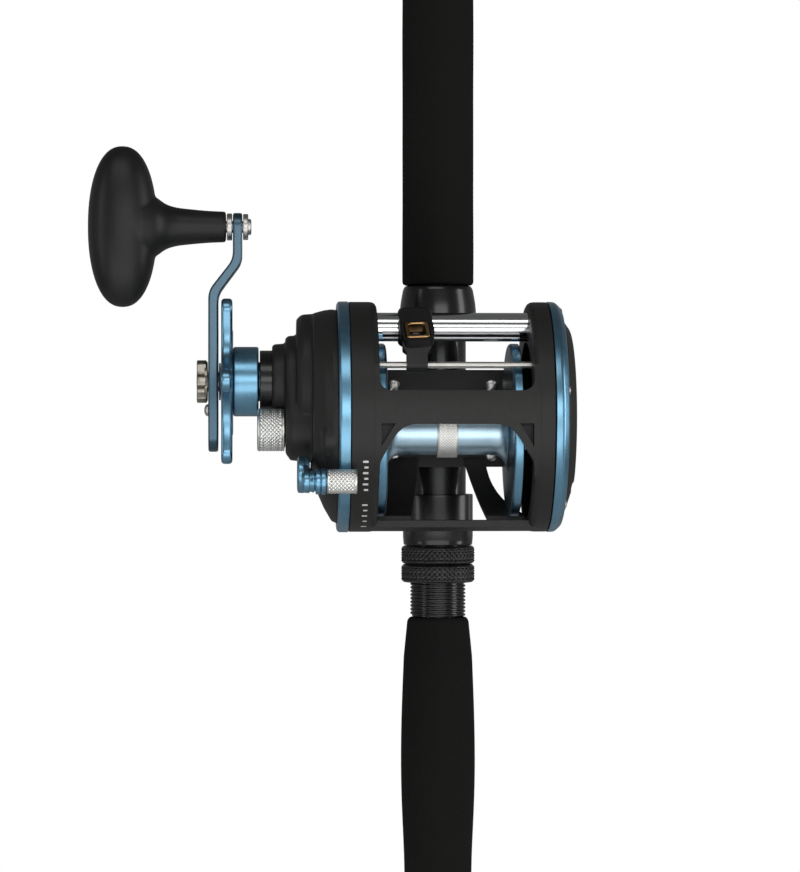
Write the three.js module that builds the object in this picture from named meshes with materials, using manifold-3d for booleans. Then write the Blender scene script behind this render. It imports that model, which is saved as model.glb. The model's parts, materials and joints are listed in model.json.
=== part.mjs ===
// A boat rod with a level-wind trolling reel, in millimetres.
// +Z runs up the rod to its tip, the reel sits on the -Y side, and its handle is on the -X side.
// The origin is the middle of the flat underside of the butt cap.
import * as THREE from "three";
import { ConvexGeometry } from "three/addons/geometries/ConvexGeometry.js";
import { mergeVertices } from "three/addons/utils/BufferGeometryUtils.js";
import Module from "manifold-3d";

const wasm = await Module();
wasm.setup();

// ---------------------------------------------------------------- driving dimensions
const fit = 0.3; // gap between pieces that rest on or in each other
const play = 0.4; // gap round a piece that turns or slides in another

// Rod
const rodLength = 1830;
const buttRadius = 7.7; // blank, from the butt to the top of the reel seat
const tipRadius = 1.4;
const blankWall = 1.3;
const solidTipLength = 330; // the blank is a solid rod above its hollow part
const spoolHeight = 425; // butt face to the spool's axis
const buttCapRadius = 15.2;
const buttCapLength = 24;
const gripWaist = 12.5; // rear grip, at its narrowest
const gripBelly = 14.95; // rear grip, at its widest, under the reel seat
const gripShoulder = 11.8;
const foregripRadius = 14.5;
const foregripLength = 260;
const foregripEnd = 11.2; // radius at its upper end
const windingCheckLength = 9;

// Reel seat, with heights measured from the spool's axis
const seatRadius = 11.2;
const seatTop = 57.7;
const seatBottom = -74.4;
const frontHoodMouth = 41;
const frontHoodWall = 4.3; // hoods and nuts, each outside the seat's surface
const frontHoodRadius = seatRadius + frontHoodWall;
const frontHoodCollar = seatRadius + 2.7;
const rearHoodMouth = -25.5;
const rearHoodLength = 20.4;
const rearHoodRadius = seatRadius + 2.8;
const nutLength = 7.1;
const nutWall = 3.6;
const nutRadius = seatRadius + nutWall;
const nutChamfer = 0.9;

// Guides: height of each ring above the butt face, and its clear radius
const guideHeights = [1010, 1265, 1480, 1660];
const guideRadii = [8, 6.2, 5, 4.2];
const tipRingRadius = 3.2;
const ringSection = 1.4; // ceramic ring, across its section
const guideWire = 1.1; // radius of a guide's legs
const guideLift = 9; // blank surface to the nearest point of the ring

// Reel body. The reel's own frame has its origin on the spool's axis.
const plateRadius = 43.85;
const plateRise = 5; // plate centre above the spool's axis
const plateEdge = 2.6; // rounding of the plates' rims
const headPlateFace = -37.6;
const headPlateInner = -27;
const tailPlateFace = 38.8;
const tailPlateInner = 30.3;
const trimRingRadius = 44;
const headRingWidth = 3.6;
const tailRingWidth = 4;
const barThickness = 5;
const thumbBarTop = 14.6;
const thumbBarBottom = 2.1;
const floorInset = 6.35; // plates' rims beyond the floor's upper side
const floorTop = plateRadius - floorInset; // spool axis to the frame's floor
const floorThickness = 4;
const floorToRod = 16.5; // floor's lower side to the rod's axis
const spoolOffset = floorTop + floorThickness + floorToRod; // spool axis to rod axis
const floorFront = 23.8;
const floorRear = -14.5;
const footWidth = 19.2;
const footFront = 50.5;
const footRear = -37;
const footSkin = 2.2; // tongue thickness over the seat

// Spool
const flangeRadius = 33;
const flangeGap = 23.5; // half the width of the line space
const arborRadius = 9.5;
const bandHalfWidth = 3.9;
const shaftRadius = 2.9;
const shaftEndRadius = 2.2;
const bearingRadius = 7.5;
const bearingWidth = 4;

// Gear train. Ratio of the spool to the handle is mainTeeth / pinionTeeth.
const mainTeeth = 39;
const pinionTeeth = 10;
const gearModule = 0.9;
const driveTeeth = 20;
const idlerTeeth = 22;
const wormTeeth = 11;
const windModule = 0.8;
const gearBacklash = 0.097; // added to the distance between the gear shaft and the spool
const gearBearing = THREE.MathUtils.degToRad(57.19); // direction of the gear shaft from the spool
const gearReach = ((mainTeeth + pinionTeeth) * gearModule) / 2 + gearBacklash;
const gearAxis = { y: gearReach * Math.cos(gearBearing), z: gearReach * Math.sin(gearBearing) };
const wormAxis = { y: -8, z: 39 };
const mainGearWidth = 3.8;
const mainGearFace = -50.2;
const windGearFace = -41.2;
const windGearWidth = 2.8;
const pinionShoulder = 5.2;
const dragPlateRadius = gearReach - pinionShoulder - 1.45;
const dragWasherRadius = dragPlateRadius - 0.5;
const gearShaftRadius = 5;
const shaftInnerRadius = 2.8; // the gear shaft's end in the bridge plate
const studRadius = 1.5; // studs that carry the idler gear and the dog
const wormEndRadius = 1.9;

// Handle side
const coverRadius = 40.7;
const coverWall = 2.3;
const gearDomeRadius = 26.5;
const gearDomeFace = -57.3;
const bossFace = -66.6;
const terraceFace = -61.5; // step of the cover round the cast-control neck
const yokeRoomFace = -59.8;
const yokeRoomRadius = 9.9;
const leverBossFace = -52.3;
const leverShaftRadius = 2.5;
const collarFace = -71.3;
const collarRadius = 12;
const hubGap = 0.55; // between the star's hub and the cast-control cap
const capRadius = 8.2;
const hubRadius = gearReach - capRadius - hubGap;
const starSleeveRadius = 7.5; // sleeve of the star, through the cover to the drag washers
const hubFace = -81.5;
const starRadius = 33;
const starFace = -86;
const armThickness = 3.8;
const armInner = -87.2;
const armJog = 9.2; // how far the arm steps back towards the reel
const armTopThickness = 3.6;
const crankLength = 59.5; // gear axis to knob axis
const knobPinRadius = 2.3;
const knobHalfHeight = 30.9;
const knobHalfDepth = 13.5;
const knobEnd = -137.2;
const bulbInner = -110.7;
const knobPinTip = -118;
const knobStemRadius = 5.9;
const capFace = -72.3;
const capInner = -61.9;
const capBoreFace = -69.6; // end of the cap's own bore
const controlNeckRadius = 6.7;
const leverFace = -56.2;
const leverBack = -52.8;
const rollerRadius = 4.6;
const rollerGap = 0.794; // between the roller and the plates' rims
const rollerBearing = THREE.MathUtils.degToRad(-150.832); // its direction from the plates' centre
const rollerReach = plateRadius + rollerRadius + rollerGap;
const rollerAxis = {
  y: rollerReach * Math.cos(rollerBearing),
  z: plateRise + rollerReach * Math.sin(rollerBearing),
};
const leverPivot = { y: rollerAxis.y + 24, z: rollerAxis.z + 2.2 };
const rollerPinRadius = 1.9;
const rollerFace = -46.6;
const rollerEnd = -35.5;

// Level wind
const tubeRadius = 5.45;
const tubeWall = 0.85;
const guideRodRadius = 1.25;
const guideRodAxis = { y: -26, z: 24.2 };
const guideCentre = -12.6; // where the line guide stands
const guideWidth = 13;
const eyeTilt = THREE.MathUtils.degToRad(40);

// ---------------------------------------------------------------- shaping helpers
const TURN = 2 * Math.PI;
// Sides of round pieces: plates and flanges, grips and caps, shafts and bores.
const facets = { wide: 28, middle: 18, small: 12 };
const upX = new THREE.Matrix4().makeBasis(
  new THREE.Vector3(0, 1, 0),
  new THREE.Vector3(0, 0, 1),
  new THREE.Vector3(1, 0, 0),
);

// Six times the volume that a geometry's faces enclose, negative when they face inwards.
function enclosed(positions, indices) {
  const corners = [0, 1, 2].map(() => new THREE.Vector3());
  let sum = 0;
  for (let i = 0; i < indices.length; i += 3) {
    corners.forEach((corner, k) => corner.fromBufferAttribute(positions, indices[i + k]));
    sum += corners[0].dot(corners[1].cross(corners[2]));
  }
  return sum;
}

// Geometry with shared vertices, no collapsed faces, and every face outwards.
function welded(geometry) {
  const bare = new THREE.BufferGeometry();
  const loose = geometry.index ? geometry.toNonIndexed() : geometry;
  bare.setAttribute("position", loose.getAttribute("position"));
  const merged = mergeVertices(bare, 1e-4);
  const kept = [];
  for (let i = 0; i < merged.index.count; i += 3) {
    const face = [0, 1, 2].map((k) => merged.index.getX(i + k));
    if (new Set(face).size === 3) kept.push(...face);
  }
  const outwards = enclosed(merged.getAttribute("position"), kept) > 0;
  merged.setIndex(outwards ? kept : kept.reverse());
  return merged;
}

function solidOf(geometry) {
  return new wasm.Manifold(
    new wasm.Mesh({
      numProp: 3,
      vertProperties: geometry.getAttribute("position").array,
      triVerts: new Uint32Array(geometry.index.array),
    }),
  );
}

function geometryOf(solid) {
  const mesh = solid.getMesh();
  const geometry = new THREE.BufferGeometry();
  const positions = new Float32Array(mesh.numVert * 3);
  for (let i = 0; i < mesh.numVert; i++) {
    positions.set(mesh.vertProperties.subarray(i * mesh.numProp, i * mesh.numProp + 3), i * 3);
  }
  geometry.setAttribute("position", new THREE.BufferAttribute(positions, 3));
  geometry.setIndex(new THREE.BufferAttribute(mesh.triVerts, 1));
  return geometry;
}

const join = (first, ...others) =>
  geometryOf(others.reduce((sum, other) => sum.add(solidOf(other)), solidOf(first)));
const cut = (first, ...tools) =>
  geometryOf(tools.reduce((rest, tool) => rest.subtract(solidOf(tool)), solidOf(first)));
const common = (first, second) => geometryOf(solidOf(first).intersect(solidOf(second)));

// A profile of [distance along the axis, radius] pairs turned about Z.
function turned(profile, segments = facets.middle) {
  const points = profile.map(([along, radius]) => new THREE.Vector2(radius, along));
  const geometry = welded(new THREE.LatheGeometry(points, segments));
  return geometry.rotateX(Math.PI / 2);
}

// The same, about an axis along X through (y, z).
function turnedX(profile, segments = facets.middle, axis = { y: 0, z: 0 }) {
  return turned(profile, segments).applyMatrix4(upX).translate(0, axis.y, axis.z);
}

const disc = (from, to, radius) => [[from, 0], [from, radius], [to, radius], [to, 0]];
const sleeve = (from, to, bore, radius) => [
  [from, bore], [from, radius], [to, radius], [to, bore], [from, bore],
];

// A flat shape in Y-Z pushed along X between two places.
function slabX(shape, from, to, curveSegments = 8) {
  const options = { depth: to - from, bevelEnabled: false, curveSegments };
  const geometry = welded(new THREE.ExtrudeGeometry(shape, options));
  return geometry.applyMatrix4(upX).translate(from, 0, 0);
}

// A flat shape in X-Z pushed along Y between two places.
function slabY(shape, from, to, curveSegments = 8) {
  const options = { depth: to - from, bevelEnabled: false, curveSegments };
  const geometry = welded(new THREE.ExtrudeGeometry(shape, options));
  return geometry.rotateX(Math.PI / 2).translate(0, to, 0);
}

function block(xs, ys, zs) {
  const box = new THREE.BoxGeometry(xs[1] - xs[0], ys[1] - ys[0], zs[1] - zs[0]);
  box.translate((xs[0] + xs[1]) / 2, (ys[0] + ys[1]) / 2, (zs[0] + zs[1]) / 2);
  return welded(box);
}

// The convex body over circles in Y-Z, each { x, y, z, r }.
function hullX(circles, segments = facets.middle) {
  const points = [];
  for (const { x, y, z, r } of circles) {
    for (let i = 0; i < segments; i++) {
      const angle = (i / segments) * TURN;
      points.push(new THREE.Vector3(x, y + r * Math.cos(angle), z + r * Math.sin(angle)));
    }
  }
  return welded(new ConvexGeometry(points));
}

// A round bar between two points.
function bar(from, to, radius, segments = 6) {
  const start = new THREE.Vector3(...from);
  const path = new THREE.Vector3(...to).sub(start);
  const rod = welded(new THREE.CylinderGeometry(radius, radius, path.length(), segments));
  rod.translate(0, path.length() / 2, 0);
  const tilt = new THREE.Quaternion().setFromUnitVectors(
    new THREE.Vector3(0, 1, 0),
    path.normalize(),
  );
  return rod.applyQuaternion(tilt).translate(start.x, start.y, start.z);
}

function outline(points) {
  const shape = new THREE.Shape();
  points.forEach(([a, b], i) => (i ? shape.lineTo(a, b) : shape.moveTo(a, b)));
  shape.closePath();
  return shape;
}

// ---------------------------------------------------------------- finishes
const finishes = {
  eva: { color: 0x1c1c1b, roughness: 0.85, metalness: 0 },
  graphite: { color: 0x2b2b2a, roughness: 0.55, metalness: 0 },
  gloss: { color: 0x0b0b0c, roughness: 0.18, metalness: 0 },
  blue: { color: 0x2f76b8, roughness: 0.28, metalness: 0.9 },
  steel: { color: 0xb9babb, roughness: 0.3, metalness: 1 },
  chrome: { color: 0xdadcde, roughness: 0.08, metalness: 1 },
  brass: { color: 0xb08a4a, roughness: 0.35, metalness: 1 },
  rubber: { color: 0x161616, roughness: 0.75, metalness: 0 },
  fibre: { color: 0x24211e, roughness: 0.9, metalness: 0 },
  ceramic: { color: 0x23262a, roughness: 0.15, metalness: 0 },
};

const rod = new THREE.Group();
const reel = new THREE.Group();
reel.position.set(0, -spoolOffset, spoolHeight);
rod.add(reel);

function piece(group, name, finish, geometry) {
  const mesh = new THREE.Mesh(geometry, new THREE.MeshStandardMaterial(finishes[finish]));
  mesh.name = name;
  group.add(mesh);
}

// ---------------------------------------------------------------- rod
const seatTopHeight = spoolHeight + seatTop;
const foregripTop = seatTopHeight + fit + foregripLength;

function blankRadius(height) {
  const along = Math.max(0, height - seatTopHeight) / (rodLength - seatTopHeight);
  return THREE.MathUtils.lerp(buttRadius, tipRadius, along);
}

const blankBottom = 4;
const blankTop = rodLength - 7;
const hollowTop = rodLength - solidTipLength;
piece(rod, "rod_blank", "gloss", turned([
  [hollowTop, 0],
  [hollowTop, blankRadius(hollowTop) - blankWall],
  [seatTopHeight, buttRadius - blankWall],
  [blankBottom, buttRadius - blankWall],
  [blankBottom, buttRadius],
  [seatTopHeight, buttRadius],
  [blankTop, blankRadius(blankTop)],
  [blankTop, 0],
], facets.small));

piece(rod, "butt_cap", "rubber", turned([
  [0, 0],
  [0, buttCapRadius - 2.5],
  [0.8, buttCapRadius - 0.9],
  [2.5, buttCapRadius],
  [buttCapLength, buttCapRadius - 0.5],
  [buttCapLength, buttRadius + fit],
  [blankBottom - fit, buttRadius + fit],
  [blankBottom - fit, 0],
], facets.middle));

function rearGrip() {
  const top = spoolHeight + seatBottom - fit;
  const bottom = buttCapLength + fit;
  const side = new THREE.SplineCurve([
    new THREE.Vector2(gripShoulder + 0.9, top - 3),
    new THREE.Vector2((gripShoulder + gripBelly) / 2 + 0.4, top - 16),
    new THREE.Vector2(gripBelly, top - 57),
    new THREE.Vector2(gripBelly - 1.45, top - 97),
    new THREE.Vector2(gripWaist, top - 160),
    new THREE.Vector2(gripWaist + 0.3, bottom + 70),
    new THREE.Vector2(buttCapRadius - 1, bottom + 4),
  ]);
  const bore = buttRadius + fit;
  return turned([
    [top, bore],
    [top, gripShoulder],
    ...side.getPoints(9).map((point) => [point.y, point.x]),
    [bottom, buttCapRadius - 1.4],
    [bottom, bore],
    [top, bore],
  ], facets.middle);
}
piece(rod, "rear_grip", "eva", rearGrip());

function foregrip() {
  const bottom = seatTopHeight + fit;
  const taper = foregripTop - 40;
  return turned([
    [bottom, buttRadius + fit],
    [bottom, foregripRadius - 1],
    [bottom + 1, foregripRadius],
    [taper, foregripRadius],
    [foregripTop - 14, (foregripRadius + foregripEnd) / 2 + 0.5],
    [foregripTop - 1.5, foregripEnd],
    [foregripTop, foregripEnd - 1.5],
    [foregripTop, blankRadius(foregripTop) + fit],
    [bottom, buttRadius + fit],
  ], facets.middle);
}
piece(rod, "foregrip", "eva", foregrip());

const checkBottom = foregripTop + fit;
piece(rod, "winding_check", "blue", turned([
  [checkBottom, blankRadius(checkBottom) + fit],
  [checkBottom, foregripEnd - 1.9],
  [checkBottom + 2.5, foregripEnd - 1.9],
  [checkBottom + windingCheckLength, blankRadius(checkBottom) + 0.9],
  [checkBottom + windingCheckLength, blankRadius(checkBottom) + fit],
  [checkBottom, blankRadius(checkBottom) + fit],
], facets.small));

// A cylinder about the rod's axis, between heights measured from the spool's axis.
const roundRod = (from, to, radius, segments = facets.middle) =>
  turned(disc(spoolHeight + from, spoolHeight + to, radius), segments);

const tongueWidth = 13;
const tongueRoom = tongueWidth + 2 * play;
const tongueCrown = seatRadius + fit + footSkin;

// Room for a foot tongue under a hood.
function tonguePocket(from, to) {
  const inside = [-tongueRoom / 2, tongueRoom / 2];
  const depth = [-frontHoodRadius - 1, -seatRadius / 2];
  const reach = block(inside, depth, [spoolHeight + from, spoolHeight + to]);
  return common(reach, roundRod(from, to, tongueCrown + fit));
}

function reelSeat() {
  const bore = buttRadius + fit;
  const body = turned([
    [spoolHeight + seatBottom, bore],
    [spoolHeight + seatBottom, seatRadius - 0.6],
    [spoolHeight + seatBottom + 0.6, seatRadius],
    [spoolHeight + frontHoodMouth, seatRadius],
    [spoolHeight + frontHoodMouth, frontHoodRadius - 0.5],
    [spoolHeight + frontHoodMouth + 0.8, frontHoodRadius],
    [spoolHeight + frontHoodMouth + 9, frontHoodRadius - 0.35],
    [spoolHeight + seatTop - 1.2, frontHoodCollar],
    [spoolHeight + seatTop, frontHoodCollar - 0.8],
    [spoolHeight + seatTop, bore],
    [spoolHeight + seatBottom, bore],
  ], facets.middle);
  const pocket = cut(
    tonguePocket(frontHoodMouth - 1, footFront + 1),
    roundRod(frontHoodMouth - 2, footFront + 2, seatRadius),
  );
  return cut(body, pocket);
}
piece(rod, "reel_seat", "gloss", reelSeat());

const rearHoodBottom = rearHoodMouth - rearHoodLength;

function slidingHood() {
  const top = spoolHeight + rearHoodMouth;
  const bottom = spoolHeight + rearHoodBottom;
  const ring = turned(disc(bottom, top, rearHoodRadius), facets.middle);
  const arch = [];
  const archRadius = tongueCrown + fit + 1.5;
  for (let i = 0; i <= 12; i++) {
    const angle = THREE.MathUtils.degToRad(-140 + (100 * i) / 12);
    for (const [height, radius] of [
      [top, archRadius - 0.5],
      [top - 1, archRadius],
      [top - 11.5, archRadius],
      [bottom + 3, rearHoodRadius - 0.4],
    ]) {
      arch.push(new THREE.Vector3(radius * Math.cos(angle), radius * Math.sin(angle), height));
    }
  }
  const outside = join(ring, welded(new ConvexGeometry(arch)));
  const bore = roundRod(rearHoodBottom - 1, rearHoodMouth + 1, seatRadius + fit);
  return cut(outside, bore, tonguePocket(footRear - 1, rearHoodMouth + 1));
}
piece(rod, "sliding_hood", "gloss", slidingHood());

function threadedNut(top) {
  const bottom = top - nutLength;
  return turned([
    [bottom, seatRadius + fit],
    [bottom, nutRadius - nutChamfer],
    [bottom + nutChamfer, nutRadius],
    [top - nutChamfer, nutRadius],
    [top, nutRadius - nutChamfer],
    [top, seatRadius + fit],
    [bottom, seatRadius + fit],
  ], facets.middle);
}
const lockNutTop = spoolHeight + rearHoodBottom - fit;
piece(rod, "lock_nut", "rubber", threadedNut(lockNutTop));
piece(rod, "jam_nut", "rubber", threadedNut(lockNutTop - nutLength - fit));

// A double-foot line guide: a wire frame round a ceramic ring, on the reel's side of the blank.
function guideFrame(height, clear) {
  const holderBore = clear + ringSection + fit;
  const holderRadius = holderBore + 1.1;
  const blank = blankRadius(height);
  const centre = -(blank + guideLift + clear);
  const foot = -(blank + fit + 0.8);
  const spread = 0.9 * (guideLift + clear);
  const footEnd = spread + 11;
  const holder = turned(sleeve(-1.1, 1.1, holderBore, holderRadius), facets.small);
  holder.translate(0, centre, height);
  const neck = centre + 0.3 * holderRadius;
  const hip = (holderBore + holderRadius) / 2;
  const chord = Math.sqrt(hip ** 2 - (0.3 * holderRadius) ** 2);
  const legs = [-1, 1].flatMap((side) => [
    bar([side * chord, neck, height], [side * 0.9, foot, height - spread], guideWire),
    bar([side * chord, neck, height], [side * 0.9, foot, height + spread], guideWire),
  ]);
  const feet = [-1, 1].map((end) =>
    block(
      [-1.7, 1.7],
      [foot - 0.8, foot + 0.8],
      end < 0
        ? [height - footEnd, height - spread + 1.5]
        : [height + spread - 1.5, height + footEnd],
    ),
  );
  const room = turned(disc(-4, 4, holderBore), facets.small).translate(0, centre, height);
  return cut(join(holder, ...legs, ...feet), room);
}

guideHeights.forEach((height, index) => {
  const clear = guideRadii[index];
  const name = `guide_${index + 1}`;
  const centre = -(blankRadius(height) + guideLift + clear);
  piece(rod, `${name}_frame`, "steel", guideFrame(height, clear));
  const ring = turned(sleeve(-ringSection, ringSection, clear, clear + ringSection), facets.small);
  piece(rod, `${name}_ring`, "ceramic", ring.translate(0, centre, height));
});

function tipTop() {
  const socketBottom = rodLength - 22;
  const socketRadius = blankRadius(socketBottom) + fit + 0.8;
  const bore = blankRadius(socketBottom) + fit;
  const socket = turned([
    [socketBottom, bore],
    [socketBottom, socketRadius],
    [blankTop + 1.5, socketRadius],
    [blankTop + 1.5, 0],
    [blankTop + fit, 0],
    [blankTop + fit, bore],
    [socketBottom, bore],
  ], facets.small);
  const holderBore = tipRingRadius + ringSection + fit;
  const holder = turned(sleeve(-1.1, 1.1, holderBore, holderBore + 1.1), facets.small);
  const centre = -(holderBore + 0.6);
  holder.translate(0, centre, rodLength - 1.2);
  const braces = [-1, 1].map((side) =>
    bar(
      [side * (holderBore + 0.5), centre - 0.4, rodLength - 1.2],
      [side * 1.2, -(socketRadius - 0.5), socketBottom + 3],
      0.7,
    ),
  );
  const stem = bar([0, 0, blankTop + 1], [0, -1.2, rodLength - 1], 0.8);
  const ringRoom = turned(disc(-4, 4, holderBore), facets.small);
  return cut(
    join(socket, holder, stem, ...braces),
    ringRoom.translate(0, centre, rodLength - 1.2),
    turned(disc(socketBottom - 9, blankTop + fit, bore), facets.small),
  );
}
piece(rod, "tip_top_frame", "steel", tipTop());
const tipRing = turned(sleeve(-1.2, 1.2, tipRingRadius, tipRingRadius + ringSection), facets.small);
piece(rod, "tip_top_ring", "ceramic", tipRing.translate(
  0, -(tipRingRadius + ringSection + fit + 0.6), rodLength - 1.2,
));

// ---------------------------------------------------------------- reel frame and foot
const plateCentre = { y: 0, z: plateRise };
const spoolRoom = flangeRadius + 0.6;

function plateDisc(from, to) {
  return turnedX([
    [from, 0],
    [from, plateRadius - 0.6],
    [from + 0.6, plateRadius],
    [to - plateEdge, plateRadius],
    [to - 0.3 * plateEdge, plateRadius - 0.35 * plateEdge],
    [to, plateRadius - plateEdge],
    [to, 0],
  ], facets.wide, plateCentre);
}

// The frame's skin between the plates, seen from the reel's front: bars and braces.
function frontSkin() {
  const left = headPlateInner - 2;
  const right = tailPlateInner + 2;
  const corner = 6;
  const skin = new THREE.Shape();
  skin.moveTo(left, thumbBarTop + 9);
  skin.lineTo(headPlateInner, thumbBarTop + 9);
  skin.lineTo(headPlateInner, thumbBarTop + corner);
  skin.quadraticCurveTo(headPlateInner, thumbBarTop, headPlateInner + corner, thumbBarTop);
  skin.lineTo(tailPlateInner - corner, thumbBarTop);
  skin.quadraticCurveTo(tailPlateInner, thumbBarTop, tailPlateInner, thumbBarTop + corner);
  skin.lineTo(tailPlateInner, thumbBarTop + 9);
  skin.lineTo(right, thumbBarTop + 9);
  skin.lineTo(right, -20);
  skin.lineTo(tailPlateInner, -17);
  skin.lineTo(tailPlateInner, -11);
  skin.lineTo(23.5, -2);
  skin.quadraticCurveTo(20, thumbBarBottom, 16, thumbBarBottom);
  skin.lineTo(-13, thumbBarBottom);
  skin.quadraticCurveTo(-17, thumbBarBottom, -20.5, -2);
  skin.lineTo(headPlateInner, -11);
  skin.lineTo(headPlateInner, -17);
  skin.lineTo(left, -20);
  skin.closePath();
  return slabY(skin, -plateRadius - 2, -10, 6);
}

// Braces from the floor's rear edge to the rear bar, seen from the reel's front.
function rearBrace(side, plate, outerEdge, innerEdge) {
  const shape = new THREE.Shape();
  shape.moveTo(side * 9, floorRear + 3);
  shape.lineTo(side * outerEdge, floorRear + 3);
  shape.quadraticCurveTo(side * (outerEdge + 0.8), -26, plate, -32.8);
  shape.lineTo(plate, -39.5);
  shape.lineTo(side * (innerEdge + 5), -39.5);
  shape.quadraticCurveTo(side * innerEdge, -28, side * 9, floorRear + 3);
  return slabY(shape, 8, plateRadius + 2, 5);
}

function reelFrame() {
  const shell = cut(
    turnedX(disc(headPlateInner - 3, tailPlateInner + 3, plateRadius), facets.wide, plateCentre),
    turnedX(
      disc(headPlateInner - 4, tailPlateInner + 4, plateRadius - barThickness), facets.wide, plateCentre,
    ),
  );
  const rearBar = block([headPlateInner - 2, tailPlateInner + 2], [-13, -4], [-39, -34.2]);
  const round = turnedX(
    disc(headPlateInner - 3, tailPlateInner + 3, plateRadius - 0.1), facets.wide, plateCentre,
  );
  const floor = block(
    [headPlateInner - 2, tailPlateInner + 2],
    [floorTop, floorTop + floorThickness],
    [floorRear, floorFront],
  );
  const headPlate = plateDisc(headPlateFace, headPlateInner);
  const tailPlate = plateDisc(-tailPlateFace, -tailPlateInner).rotateZ(Math.PI);
  const solid = join(
    headPlate,
    tailPlate,
    common(shell, frontSkin()),
    common(shell, rearBrace(-1, headPlateInner - 1, 21, 10.5)),
    common(shell, rearBrace(1, tailPlateInner + 1, 17.4, 15.5)),
    common(round, rearBar),
    floor,
  );
  const bores = [
    turnedX(disc(headPlateFace - 1, headPlateInner + 0.5, spoolRoom), facets.wide),
    turnedX(disc(tailPlateInner - 0.5, tailPlateFace + 1, spoolRoom), facets.wide),
    turnedX(disc(headPlateInner - 3.4, tailPlateInner + 2.4, tubeRadius + fit), facets.small, wormAxis),
    turnedX(disc(headPlateFace - 1, tailPlateFace - 2, shaftEndRadius + play), facets.small, wormAxis),
    turnedX(
      disc(headPlateInner - 3, tailPlateInner + 3, guideRodRadius + fit), facets.small, guideRodAxis,
    ),
  ];
  return cut(solid, ...bores);
}

function frameWithPockets() {
  const pocket = (corner, side) =>
    slabY(
      outline([
        [corner, 1.5],
        [corner + side * 4.6, 1.5],
        [corner, -4.6],
      ]),
      -plateRadius - 2,
      -plateRadius + 2.6,
    );
  return cut(
    reelFrame(),
    pocket(headPlateInner + 1.2, 1),
    pocket(tailPlateInner - 1.2, -1),
  );
}
piece(reel, "reel_frame", "graphite", frameWithPockets());

function reelFoot() {
  const top = floorTop + floorThickness + fit;
  const halfBlock = footWidth / 2;
  const halfTongue = tongueWidth / 2;
  const base = block([-halfBlock, halfBlock], [top, top + 8], [floorRear, floorFront]);
  const tongues = outline([
    [-8.5, floorRear],
    [-halfTongue, rearHoodMouth + 2],
    [-halfTongue, footRear + 1.5],
    [-halfTongue + 1.5, footRear],
    [halfTongue - 1.5, footRear],
    [halfTongue, footRear + 1.5],
    [halfTongue, rearHoodMouth + 2],
    [8.5, floorRear],
    [8.5, floorFront],
    [halfTongue, frontHoodMouth - 6],
    [halfTongue, footFront - 1.5],
    [halfTongue - 1.5, footFront],
    [-halfTongue + 1.5, footFront],
    [-halfTongue, footFront - 1.5],
    [-halfTongue, frontHoodMouth - 6],
    [-8.5, floorFront],
  ]);
  const aboutRod = (radius) =>
    turned(disc(footRear - 1, footFront + 1, radius), facets.middle).translate(0, spoolOffset, 0);
  const strip = common(slabY(tongues, top, top + 8), aboutRod(tongueCrown));
  return cut(join(base, strip), aboutRod(seatRadius + fit));
}
piece(reel, "reel_foot", "gloss", reelFoot());

// ---------------------------------------------------------------- trim rings and side plates
const headRingOuter = headPlateFace - fit;
const headRingFace = headRingOuter - headRingWidth;
const coverOpen = headRingFace - fit;
const ringBore = 40.7;

piece(reel, "head_trim_ring", "blue", turnedX([
  [headRingOuter, ringBore],
  [headRingOuter, trimRingRadius],
  [headRingFace + 0.9, trimRingRadius],
  [headRingFace, trimRingRadius - 0.9],
  [headRingFace, ringBore],
  [headRingOuter, ringBore],
], facets.wide, plateCentre));

const tailRingInner = tailPlateFace + fit;
const tailRingFace = tailRingInner + tailRingWidth;
const tailCoverRadius = 37.5;
piece(reel, "tail_trim_ring", "blue", turnedX([
  [tailRingInner, tailCoverRadius + fit],
  [tailRingInner, trimRingRadius],
  [tailRingFace - 1.8, trimRingRadius - 0.3],
  [tailRingFace, trimRingRadius - 2.4],
  [tailRingFace, tailCoverRadius + fit],
  [tailRingInner, tailCoverRadius + fit],
], facets.wide, plateCentre));

const coverRings = [
  { x: coverOpen, y: 0, z: plateRise, r: coverRadius },
  { x: -47, y: 0, z: 8, r: 37.6 },
  { x: -51.3, y: 0, z: 12.4, r: 32 },
];
const insideRings = [
  { x: coverOpen + 1, y: 0, z: plateRise, r: coverRadius - coverWall },
  { x: -46.6, y: 0, z: 8, r: 37.6 - coverWall },
  { x: -49, y: 0, z: 12.4, r: 31.4 - coverWall },
];
const atGear = (x, r) => ({ x, r, ...gearAxis });
const atSpool = (x, r) => ({ x, r, y: 0, z: 0 });

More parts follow.
